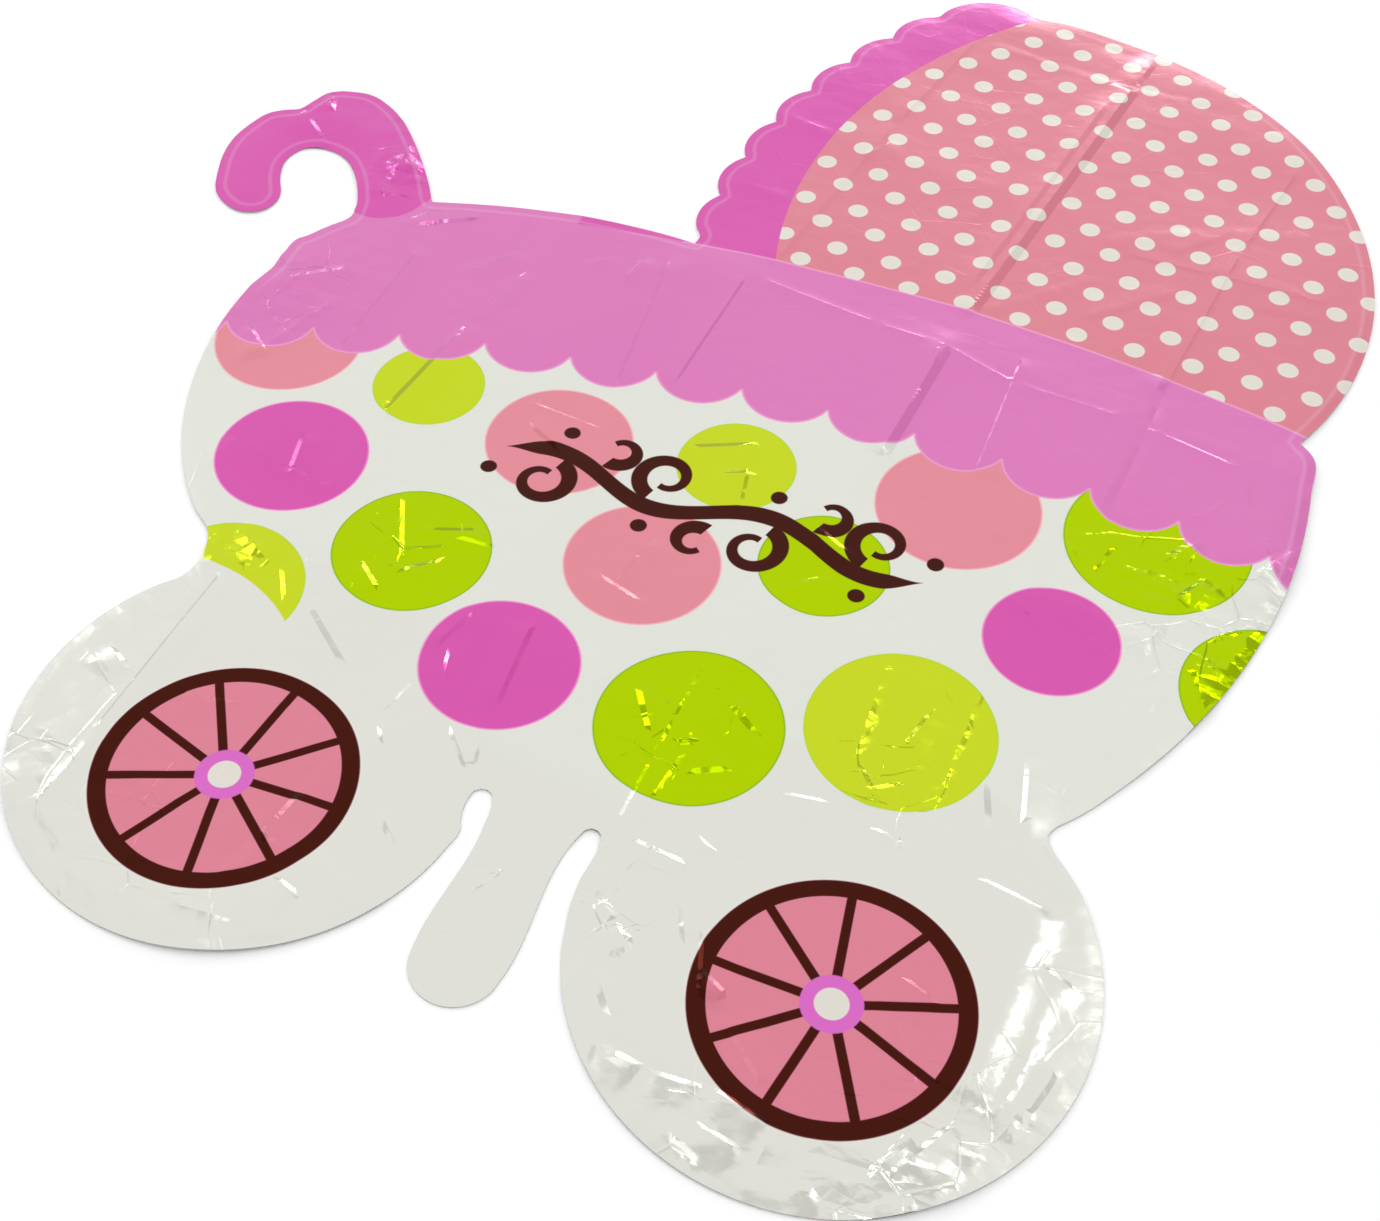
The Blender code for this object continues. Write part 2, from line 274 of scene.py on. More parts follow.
    def holds_far(self, places: np.ndarray, depth: float) -> np.ndarray:
        """Whether each place lies inside the edge and farther than a depth from it."""
        gap, _ = self.nearest(places)
        return self.holds(places) & (gap > depth)

    def row(self, depth: float) -> np.ndarray:
        """Points at one depth inside the edge.

        Args:
            depth: How far inside the edge the points lie.

        Returns:
            Rows of x and y on the print.
        """
        ahead = np.roll(self.points, -1, axis=0) - np.roll(self.points, 1, axis=0)
        inward = np.column_stack([-ahead[:, 1], ahead[:, 0]]) / np.hypot(*ahead.T)[:, None]
        places = self.points + depth * inward
        gap, _ = self.nearest(places)
        return places[gap > self.row_slack * depth]

    def grid(self, cell: float, tilt: float, clear: float) -> np.ndarray:
        """The points of a turned square grid that lie inside the edge.

        Args:
            cell: The grid's spacing.
            tilt: How far the grid is turned.
            clear: How far inside the edge the points stay.

        Returns:
            Rows of x and y on the print.
        """
        turn = np.array([[math.cos(tilt), math.sin(tilt)], [-math.sin(tilt), math.cos(tilt)]])
        run = self.points @ turn
        ends = np.roll(run, -1, axis=0)
        low, high = run.min(axis=0), run.max(axis=0)
        found = []
        for level in np.arange(math.ceil(low[1] / cell), high[1] / cell) * cell:
            over = (run[:, 1] > level) != (ends[:, 1] > level)
            share = (level - run[over, 1]) / (ends[over, 1] - run[over, 1])
            crossings = np.sort(run[over, 0] + share * (ends[over, 0] - run[over, 0]))
            for start, end in zip(crossings[::2], crossings[1::2]):
                x = np.arange(math.ceil(start / cell), end / cell) * cell
                found.append(np.column_stack([x, np.full(len(x), level)]))
        places = np.concatenate(found) @ turn.T
        gap, _ = self.nearest(places)
        return places[gap > clear]


@dataclass(frozen=True)
class Crease:
    """A crease in the film: a line whose two flanks slope away from it.

    Args:
        start: One end, on the print.
        end: The other end.
        rise: How high the line stands, or how deep it lies where negative.
        left: How far the flank on the left of the line reaches.
        right: How far the flank on the right reaches.
        fade: The share of the length over which the crease dies out at each end.
    """
    start: Place
    end: Place
    rise: float
    left: float
    right: float
    fade: float

    @classmethod
    def listed(cls, *row: float) -> "Crease":
        """A crease from its row of the table.

        Args:
            row: The crease's numbers, in millimetres apart from the last.

        Returns:
            The crease.
        """
        *lengths, fade = row
        x, y, end_x, end_y, rise, left, right = (round(length / 1000.0, 5) for length in lengths)
        return cls((x, y), (end_x, end_y), rise, left, right, fade)

    def height(self, places: np.ndarray) -> np.ndarray:
        """The crease's height at each place.

        Args:
            places: Rows of x and y on the print.

        Returns:
            One height for each place.
        """
        along = np.subtract(self.end, self.start)
        length = math.hypot(*along)
        offset = places - self.start
        share = offset @ along / length ** 2
        side = (along[0] * offset[:, 1] - along[1] * offset[:, 0]) / length
        reach = np.where(side > 0.0, self.left, self.right)
        flank = np.clip(1.0 - np.abs(side) / reach, 0.0, 1.0)
        return self.rise * flank * ease(share / self.fade) * ease((1.0 - share) / self.fade)

    def rows(self, step: float) -> np.ndarray:
        """Points along the line and along both feet of its flanks, about one step apart.

        Args:
            step: How far apart the points are.

        Returns:
            Rows of x and y on the print.
        """
        start, along = np.array(self.start), np.subtract(self.end, self.start)
        length = math.hypot(*along)
        beside = np.array([-along[1], along[0]]) / length
        share = np.linspace(0.0, 1.0, max(2, round(length / step)))[:, None]
        return np.concatenate([start + share * along + offset * beside
                               for offset in (-self.right, 0.0, self.left)])


# Each crease in millimetres: x and y of its start and of its end, how high its line stands or how deep it
# lies, how far its left and right flanks reach, and the share over which it dies out at each end
CREASES = (
    (30, 20, 61, 404, 1.00, 30, 16, .04), (25, 30, 26, 148, .48, 10.7, 1.5, .08),
    (55, 298, 60, 386, 1.53, 14, 4.8, .05), (140, -92, 172, 412, -1.00, 12, 11, .04),
    (166, 298, 171, 412, 1.17, 14, 4.9, .05), (174, 302, 178, 408, .25, 3.1, 5.5, .1),
    (-50, 399, 22, 391, .25, 1.3, 5.6, .08), (20, 391, 62, 387, .26, 1.3, 5.8, .08),
    (60, 388, 100, 376, .33, 1.4, 7.3, .08), (100, 376, 162, 374, .24, 1.2, 5.4, .1),
    (166, 373, 224, 362, .33, 1.4, 7.3, .08), (-203, 100, -205, -4, .68, 14, 1.4, .08),
    (-204, -4, -206, -48, .36, 8, 1.8, .1), (-244, -12, -206, -12, .11, 1.4, 5, .1),
    (-203, -48, -181, -62, .29, 6.4, 2.4, .15), (-229, 348, -229, 252, .77, 14, 2.4, .1),
    (-100, 398, -85, 286, .94, 14, 2.1, .1), (-57, 400, -60, 300, .54, 1.2, 12, .1),
    (-168, 352, -176, 300, .49, 10.9, 1.2, .1), (-176, 302, -185, 221, 1.06, 14, 3.3, .08),
    (227, 363, 241, 294, .22, 1.4, 5, .1), (100, 398, 103, 302, .69, 14, 1.2, .1),
    (-201, 338, -172, 366, .92, 4.6, 14, .3), (-145, 369, -124, 383, .52, 2.6, 11.5, .3),
    (-113, 392, -116, 364, 1.17, 14, 2.4, .3), (-252, 319, -301, 275, .73, 14, 3, .08),
    (-247, 295, -276, 224, .31, 3.9, 6.9, .08), (-250, 290, -270, 232, .43, 9.5, 1.5, .15),
    (-276, 226, -286, 200, .22, 2.8, 5, .12), (-296, 322, -290, 336, .19, 2.4, 5, .2),
    (-302, 316, -288, 300, 1.43, 2.8, 14, .2), (-286, 340, -272, 345, .96, 14, 1.8, .2),
    (-245, 362, -210, 384, 1.20, 14, 2, .2), (-282, 252, -262, 236, 1.01, 2.3, 14, .2),
    (-125, 262, -76, 258, .41, 1.4, 9, .15), (-118, 250, -90, 236, .89, 14, 2.2, .25),
    (-36, 262, 2, 281, 1.05, 3.3, 14, .2), (-22, 250, 10, 262, .50, 2.1, 11, .25),
    (-2, 262, 4, 236, .69, 1.9, 14, .2), (47, 251, 48, 199, .15, 1.9, 5, .12),
    (40, 240, 70, 226, .73, 2.3, 14, .25), (62, 212, 44, 196, .82, 14, 2.6, .25),
    (159, 247, 156, 187, .10, 1.3, 5, .08), (158, 246, 152, 226, .83, 2.3, 14, .2),
    (196, 292, 200, 260, .18, 2.3, 5, .15), (182, 274, 216, 276, .54, 2.2, 12, .2),
    (204, 286, 216, 304, 1.27, 3.5, 14, .2), (172, 262, 180, 292, .49, 10.8, 2, .15),
    (226, 284, 214, 262, 1.30, 14, 2.5, .2), (244, 318, 256, 268, .33, 7.4, 4.1, .15),
    (256, 270, 244, 214, .61, 3.8, 13.5, .15), (262, 318, 247, 292, 1.49, 14, 3.7, .2),
    (236, 262, 250, 250, .22, 5, 2.8, .2), (232, 232, 244, 200, 1.37, 14, 2.3, .2),
    (270, 252, 256, 236, .91, 14, 2.5, .2), (250, 214, 236, 190, 1.37, 14, 2.8, .2),
    (224, 216, 210, 160, .54, 3.4, 12, .2), (214, 250, 206, 222, .62, 3.1, 13.8, .25),
    (-258, 176, -178, 166, .64, 2, 14, .2), (-214, 196, -206, 166, 1.02, 14, 2.6, .2),
    (-150, 181, -127, 137, .72, 14, 2.2, .15), (-136, 158, -100, 172, .70, 2.5, 14, .2),
    (-128, 131, -110, 148, .83, 2.6, 14, .2), (-147, 130, -131, 118, 1.08, 2.2, 14, .2),
    (-113, 164, -92, 166, .71, 14, 2, .2), (-24, 204, -30, 166, 1.14, 14, 2.6, .25),
    (-46, 170, -10, 160, .75, 2.3, 14, .25), (-56, 132, -50, 78, .99, 2.2, 14, .15),
    (-28, 89, -33, 79, .13, 1.6, 5, .25), (-84, 106, -78, 84, .64, 14, 2, .25),
    (38, 149, 36, 118, .38, 1.4, 8.5, .15), (41, 99, 31, 94, 1.27, 2.6, 14, .25),
    (37, 90, 34, 61, .52, 1.9, 11.5, .1), (4, 118, 22, 92, 1.14, 14, 2.6, .25),
    (44, 126, 66, 112, 1.17, 14, 2.7, .25), (42, 82, 60, 92, 1.17, 14, 2.4, .25),
    (103, 178, 108, 102, .90, 5, 8, .12), (119, 103, 133, 113, .89, 2.5, 14, .2),
    (108, 116, 124, 100, .81, 2.5, 14, .2), (132, 158, 126, 132, 1.17, 14, 2.1, .25),
    (148, 180, 147, 98, .34, 1.7, 7.6, .1), (158, 172, 152, 108, .44, 2.2, 9.7, .15),
    (-212, 126, -184, 112, .87, 14, 3.6, .2), (-226, 112, -208, 104, 1.40, 3.2, 14, .2),
    (-196, 124, -196, 104, .88, 1.8, 14, .2), (-180, 116, -164, 92, .70, 14, 2.2, .2),
    (-158, 101, -118, 71, .68, 14, 2.8, .15), (-63, 62, -45, 44, .53, 11.7, 1.9, .12),
    (-47, 58, -40, 30, .69, 1.6, 14, .15), (-90, 82, -94, 58, .47, 1.3, 10.4, .2),
    (-91, 50, -85, 41, .65, 14, 2, .3), (-82, 130, -92, 96, .72, 2, 14, .25),
    (-98, 34, -105, 4, .49, 10.8, 3, .08), (-104, 5, -108, -24, 1.21, 14, 3, .08),
    (-107, -28, -115, -46, .53, 11.8, 3.3, .12), (-172, -17, -146, -22, .11, 1.3, 5, .15),
    (-146, -24, -116, -28, .11, 1.4, 5, .15), (-190, 30, -150, 36, .44, 9.7, 1.6, .25),
    (-160, 46, -128, 40, .16, 2, 5, .25), (-94, -38, -79, -42, .97, 2, 14, .25),
    (-212, -30, -204, -40, .51, 11.2, 2.5, .3), (-236, -36, -212, -58, .83, 14, 3.4, .2),
    (-226, 40, -210, 30, 1.13, 2, 14, .25), (-190, -66, -150, -72, .20, 2.5, 5, .25),
    (-130, -66, -90, -62, .48, 10.7, 2.4, .25), (-70, 10, -48, -8, .58, 12.9, 2.4, .25),
    (-76, -20, -58, -44, .19, 2.4, 5, .25), (-14, 20, -2, 4, .13, 1.7, 5, .25),
    (-22, 2, -8, 0, .75, 1.7, 14, .25), (-18, -50, 4, -47, .57, 12.6, 2.4, .2),
    (4, -47, 10, -56, .15, 1.8, 5, .3), (-20, 30, -24, 24, .11, 1.3, 5, .3),
    (84, 87, 106, 91, .57, 1.6, 12.6, .2), (126, 86, 147, 83, .68, 1.9, 14, .15),
    (150, 98, 150, 58, .26, 1.3, 5.8, .15), (150, 80, 166, 78, .54, 1.5, 11.9, .2),
    (176, 80, 207, 76, .68, 1.9, 14, .15), (158, 142, 172, 104, .75, 3.1, 14, .2),
    (178, 150, 188, 108, 1.17, 14, 2.1, .2), (60, 52, 70, 48, .60, 1.4, 13.3, .3),
    (24, 62, 25, 28, .17, 2.1, 5, .15), (147, 52, 143, 12, .53, 3.3, 11.8, .08),
    (143, 13, 141, -11, .53, 3.3, 11.8, .08), (140, -10, 137, -52, .42, 2.6, 9.4, .08),
    (162, 23, 182, 16, .63, 1.6, 14, .2), (86, -7, 101, -14, .99, 2.1, 14, .2),
    (104, -22, 132, -46, .54, 12, 2.2, .2), (116, -20, 126, -34, .14, 1.7, 5, .25),
    (110, -53, 136, -58, .93, 1.9, 14, .15), (207, 78, 203, -18, 1.25, 10, 28, .05),
    (222, 44, 217, -20, .38, 3, 12, .12), (205, -16, 215, -20, .68, 14, 2.4, .25),
    (224, 22, 215, -16, .19, 2.4, 5, .2), (232, 10, 222, -30, 1.37, 2.3, 14, .2),
    (202, -30, 186, -60, 1.56, 14, 2.6, .15), (214, -34, 200, -62, .85, 5.3, 14, .15),
    (190, -42, 178, -62, 1.43, 14, 2.4, .2), (182, -73, 200, -66, 1.46, 3, 14, .15),
    (180, -70, 186, -84, .47, 2.9, 10.3, .2), (166, -62, 176, -82, .55, 3.4, 12.2, .2),
    (158, -74, 166, -84, .92, 3.3, 14, .2), (148, -72, 160, -80, .64, 14, 2.7, .25),
    (139, -60, 137, -90, .85, 14, 1.9, .15), (110, -69, 131, -72, 1.04, 2.2, 14, .2),
    (84, -57, 107, -55, 1.04, 2.4, 14, .2), (60, -54, 82, -57, 1.40, 3.2, 14, .2),
    (35, 39, 62, 37, .77, 1.9, 14, .15), (27, 22, 32, 8, 1.21, 14, 3, .25), (34, 8, 46, 0, 1.49, 2.9, 14, .2),
    (44, 0, 57, -9, 1.43, 2.8, 14, .2), (40, -18, 38, -42, .80, 14, 1.5, .2),
    (48, -24, 62, -40, .77, 14, 2.8, .25), (66, 22, 76, 2, .80, 14, 2, .25),
    (80, 14, 92, -20, .89, 14, 2, .25), (98, -72, 120, -84, 1.11, 14, 2.8, .25),
    (212, 50, 232, 44, .79, 2, 14, .25), (97, 694, 92, 655, .88, 3.1, 14, .1),
    (92, 656, 62, 414, 1.56, 4.9, 14, .04), (82, 640, 56, 430, .99, 3.1, 14, .1),
    (-10, 664, -28, 560, .50, 2.2, 12, .08), (-28, 562, -48, 412, .50, 2.2, 12, .08),
    (200, 616, 186, 528, .39, 1.9, 8.6, .1), (186, 530, 174, 404, .39, 1.9, 8.6, .08),
    (0, 661, 44, 656, .26, 2.2, 5.8, .12), (42, 657, 92, 650, .27, 2.2, 6, .12),
    (92, 651, 134, 656, .23, 1.9, 5.1, .12), (62, 416, 120, 478, .28, 3.2, 9, .2),
    (120, 438, 166, 484, .45, 12, 2.4, .15), (104, 502, 168, 540, .30, 4.5, 12, .25),
    (166, 540, 224, 560, .28, 4.5, 12, .25), (148, 508, 178, 542, .45, 12, 2.6, .2),
    (120, 501, 246, 505, .30, 9, 1.4, .12), (200, 484, 242, 490, .25, 9, 1.4, .2),
    (20, 424, 44, 520, .23, 2.9, 5.2, .25), (-90, 543, -58, 538, .23, 1.4, 5, .2),
    (-92, 473, -58, 472, .25, 1.6, 5.6, .2), (-36, 520, -22, 546, .51, 2.1, 11.3, .25),
    (-60, 690, -56, 650, .16, 2, 5, .25), (-353, 428, -321, 404, 1.11, 2.5, 14, .1),
    (-346, 454, -336, 434, 1.43, 2.4, 14, .2), (-292, 422, -280, 386, .33, 4.1, 7.4, .12),
    (-280, 424, -262, 404, 1.49, 3.7, 14, .2), (-284, 404, -266, 396, .83, 14, 4.1, .2),
    (-276, 414, -272, 388, 1.32, 14, 4.1, .2), (-286, 390, -262, 382, .23, 2.9, 5.2, .2),
    (-268, 410, -258, 396, 1.43, 3, 14, .2), (-296, 446, -284, 432, 1.12, 2.6, 14, .25),
    (-284, 376, -256, 384, .91, 14, 1.7, .2), (-250, 362, -232, 382, .36, 1.5, 7.9, .2),
    (-216, 384, -204, 392, .17, 5, 2.2, .2),
)


@dataclass(frozen=True)
class Facets:
    """Flat facets between crumple lines: heights on a lattice of triangles, with straight lines between.

    Args:
        cell: The lattice's spacing.
        turn: How far the lattice is turned, in radians.
        rise: The largest height.
        seed: The seed of the heights.
        shift: Where the print's origin lies on the lattice, in cells.
        count: How many heights there are each way before they repeat.
    """
    cell: float
    turn: float
    rise: float
    seed: int
    shift: Place = (17.3, 23.7)
    count: int = 64

    def height(self, places: np.ndarray) -> np.ndarray:
        """The facets' height at each place, from minus to plus the rise.

        Args:
            places: Rows of x and y on the print.

        Returns:
            One height for each place.
        """
        count = self.count
        table = np.random.default_rng(self.seed).uniform(-1.0, 1.0, (count, count))
        cos, sin = math.cos(self.turn), math.sin(self.turn)
        x = (places[:, 0] * cos + places[:, 1] * sin) / self.cell + self.shift[0]
        y = (places[:, 1] * cos - places[:, 0] * sin) / (self.cell * math.sqrt(0.75)) + self.shift[1]
        u, v = x - 0.5 * y, y
        i, j = np.floor(u).astype(int), np.floor(v).astype(int)
        a, b = u - i, v - j
        upper = a + b > 1.0
        corner = np.where(upper, table[(i + 1) % count, (j + 1) % count], table[i % count, j % count])
        p, q = np.where(upper, 1.0 - b, a), np.where(upper, 1.0 - a, b)
        return self.rise * (corner * (1.0 - p - q) + table[(i + 1) % count, j % count] * p
                            + table[i % count, (j + 1) % count] * q)


@dataclass(frozen=True)
class Patch:
    """A round area with soft edges: centre, reach and the amount at its middle."""
    centre: Place
    reach: float
    amount: float

    def height(self, places: np.ndarray) -> np.ndarray:
        """The patch's amount at each place."""
        away = np.hypot(*(places - self.centre).T)
        return self.amount * ease(1.0 - away / self.reach)


@dataclass
class Relief:
    """How the two films lie: packet folds, curls, crumples and the air between them.

    Args:
        tilt: How far the packet folds are turned on the print.
        upright: Packet folds that run up the print: place across, rise, left flank, right flank.
        level: Packet folds that run across it: place up, rise, upper flank, lower flank.
        fold_sharpness: The power of a ridge's flank.
        fold_waver: How much of a fold's height changes along it, and the two waves it changes with.
        valley_lift: How high a valley's two shoulders stand.
        valley_reach: How far they reach.
        curls: Where the balloon's edge curls up.
        swell: The height of the slow waves in the film as it lies.
        swell_length: Their length.
        seal: The width of the heat seal.
        air: How far the air left inside parts the films.
        air_reach: How far inside the seal they are fully parted.
        tail_x: The middle of the tail.
        tail_width: Its width.
        tail_top: Where it leaves the basket.
        broad: The large facets.
        fine: The small facets, stronger where the film is crumpled.
        crumpled: The handled parts, where the film is crumpled most.
        calm: How crumpled it is elsewhere.
        pucker: The height of the short wrinkles at the seal.
        pucker_length: How far apart they are.
        pucker_reach: How fast they die out inside the seal.
        edge_share: The share of the heights that is left right at the edge.
        edge_reach: How far inside the edge they are whole, in widths of the seal.
        back_share: The shares of the broad and the fine facets that the back film has.
        creases: The single creases of the front film.
    """
    tilt: float = math.radians(6.3)
    upright: tuple = ((-0.330, 0.0010, 0.030, 0.030), (-0.204, 0.0005, 0.020, 0.024),
                      (-0.097, 0.0006, 0.030, 0.030), (0.207, 0.0003, 0.014, 0.024))
    level: tuple = ((0.664, -0.0006, 0.018, 0.030), (0.527, 0.0007, 0.030, 0.030),
                    (0.392, 0.0010, 0.030, 0.030), (0.256, 0.0005, 0.024, 0.024),
                    (0.112, 0.0007, 0.022, 0.026), (-0.036, 0.0008, 0.020, 0.020))
    fold_sharpness: float = 1.3
    fold_waver: tuple = (0.25, 21.0, 9.0)
    valley_lift: float = 0.0010
    valley_reach: float = 0.050
    curls: tuple = (Patch((-0.300, 0.282), 0.080, 0.0025), Patch((0.261, 0.300), 0.060, 0.0020),
                    Patch((0.205, 0.630), 0.070, 0.0020), Patch((0.020, 0.700), 0.060, 0.0015),
                    Patch((-0.115, -0.085), 0.065, 0.0008), Patch((-0.355, 0.442), 0.045, 0.0008),
                    Patch((0.205, -0.070), 0.050, 0.0010))
    swell: float = 0.0004
    swell_length: float = 0.170
    seal: float = 0.0060
    air: float = 0.0004
    air_reach: float = 0.040
    tail_x: float = -0.0057
    tail_width: float = 0.0395
    tail_top: float = 0.040
    broad: tuple = (Facets(0.062, 0.35, 0.00032, 3), Facets(0.047, 1.10, 0.00022, 5))
    fine: tuple = (Facets(0.0200, 0.90, 0.00018, 7), Facets(0.0132, 0.20, 0.00011, 11))
    crumpled: tuple = (Patch((-0.285, 0.290), 0.075, 1.5), Patch((0.250, 0.255), 0.080, 1.6),
                       Patch((-0.272, 0.400), 0.030, 2.2), Patch((0.180, -0.072), 0.050, 0.9),
                       Patch((0.215, -0.020), 0.060, 0.4), Patch((-0.140, -0.010), 0.140, 0.15),
                       Patch((0.115, -0.045), 0.070, 0.2), Patch((0.125, 0.130), 0.060, 1.1),
                       Patch((-0.130, 0.145), 0.050, 1.0), Patch((0.036, 0.105), 0.050, 1.0),
                       Patch((0.197, 0.270), 0.060, 1.1), Patch((-0.200, 0.105), 0.040, 0.8),
                       Patch((0.040, 0.010), 0.040, 0.6), Patch((-0.005, 0.000), 0.050, 0.4),
                       Patch((-0.220, -0.030), 0.040, 0.2))
    calm: float = 0.28
    pucker: float = 0.00009
    pucker_length: float = 0.0170
    pucker_reach: float = 0.010
    edge_share: float = 0.6
    edge_reach: float = 2.5
    back_share: tuple = (0.6, 0.5)
    creases: tuple = tuple(Crease.listed(*row) for row in CREASES)

    def across(self, places: np.ndarray) -> tuple[np.ndarray, np.ndarray]:
        """Each place along the two directions of the packet folds."""
        cos, sin = math.cos(self.tilt), math.sin(self.tilt)
        return places[:, 0] * cos - places[:, 1] * sin, places[:, 0] * sin + places[:, 1] * cos

    def fold(self, offset: np.ndarray, along: np.ndarray, rise: float, ahead: float, behind: float,
             seed: float) -> np.ndarray:
        """One packet fold: a ridge, or a valley between two low ridges.

        Args:
            offset: How far each place lies from the fold's line.
            along: How far along the line each place lies.
            rise: The ridge's height, or the valley's depth where negative.
            ahead: How far the flank reaches where the offset is below zero.
            behind: How far it reaches where the offset is above zero.
            seed: Shifts the waver of the fold's height along its line.

        Returns:
            The fold's height at each place.
        """
        share, quick, slow = self.fold_waver
        waver = 1.0 - share + share * np.sin(along * quick + seed * 2.3) * np.sin(along * slow + seed)
        reach = np.where(offset < 0.0, ahead, behind)
        flank = np.clip(1.0 - np.abs(offset) / reach, 0.0, 1.0)
        if rise > 0.0:
            return rise * flank ** self.fold_sharpness * waver
        shoulder = ease(1.0 - np.abs(offset) / self.valley_reach)
        return waver * (self.valley_lift * shoulder + rise * flank)

    def off_the_tail(self, places: np.ndarray) -> np.ndarray:
        """0 on the tail, which is pressed flat, and 1 away from it.

        Args:
            places: Rows of x and y on the print.

        Returns:
            One share for each place.
        """
        beside = ease((np.abs(places[:, 0] - self.tail_x) - self.tail_width / 2) / self.tail_width)
        above = ease((places[:, 1] - self.tail_top / 2) / self.tail_width)
        return np.maximum(beside, above)

    def resting(self, places: np.ndarray) -> np.ndarray:
        """How high the back film lies over the table.

        Args:
            places: Rows of x and y on the print.

        Returns:
            One height for each place.
        """
        across, up = self.across(places)
        height = np.zeros(len(places))
        for number, (place, rise, ahead, behind) in enumerate(self.upright):
            height += self.fold(across - place, up, rise, ahead, behind, number)
        for number, (place, rise, above, below) in enumerate(self.level):
            height += self.fold(place - up, across, rise, above, below, number + 0.5)
        wave = 2.0 * math.pi / self.swell_length
        height += self.swell * (1.0 + np.sin(places[:, 0] * wave + 1.2) * np.sin(places[:, 1] * wave * 0.8))
        for curl in self.curls:
            height += curl.height(places)
        return np.maximum(height, 0.0) * self.off_the_tail(places)

    def puckers(self, inside: np.ndarray, along: np.ndarray) -> np.ndarray:
        """Short wrinkles that run in from the seal.

        Args:
            inside: How far inside the edge each place is.
            along: Where along the edge the nearest point is.

        Returns:
            One height for each place.
        """
        phase = 2.0 * math.pi * along / self.pucker_length
        waver = np.sin(along * 31.0) * np.sin(along * 13.0 + 2.0)
        ripple = np.sin(phase + 3.0 * waver) * (0.5 + 0.5 * waver)
        band = ease(inside / self.seal) * np.exp(-np.clip(inside - self.seal, 0.0, 1.0) / self.pucker_reach)
        return self.pucker * ripple * band

    def crumple(self, places: np.ndarray) -> np.ndarray:
        """How crumpled the film is at each place: calm in the middle, more in the handled parts.

        Args:
            places: Rows of x and y on the print.

        Returns:
            One amount for each place.
        """
        amount = np.full(len(places), self.calm)
        for patch in self.crumpled:
            amount += patch.height(places)
        return amount

    def front(self, places: np.ndarray, inside: np.ndarray, along: np.ndarray) -> np.ndarray:
        """How high the front film stands over the back film, past their thicknesses.

        Args:
            places: Rows of x and y on the print.
            inside: How far inside the edge each place is.
            along: Where along the edge the nearest point is.

        Returns:
            The heights, none below zero.
        """
        share = np.clip((inside - self.seal) / self.air_reach, 0.0, 1.0)
        height = self.air * (1.0 - (1.0 - share) ** 3)
        for crease in self.creases:
            height += crease.height(places)
        crumple = self.crumple(places)
        height += sum(layer.height(places) for layer in self.broad)
        height += crumple * sum(layer.height(places) for layer in self.fine)
        height = height * self.off_the_tail(places) ** 0.5
        height += self.puckers(inside, along)
        whole = ease(inside / (self.edge_reach * self.seal))
        return np.maximum(height * (self.edge_share + (1.0 - self.edge_share) * whole), 0.0)

    def back(self, places: np.ndarray, inside: np.ndarray) -> np.ndarray:
        """The back film's own crumples, which lift it off the table a little.

        Args:
            places: Rows of x and y on the print.
            inside: How far inside the edge each place is.

        Returns:
            One height for each place, none below zero.
        """
        broad, fine = self.back_share
        height = sum(broad * (layer.height(places) + layer.rise) for layer in self.broad)
        height += self.crumple(places) * sum(fine * layer.height(-places) for layer in self.fine)
        return np.maximum(height, 0.0) * ease(inside / self.seal) * self.off_the_tail(places)


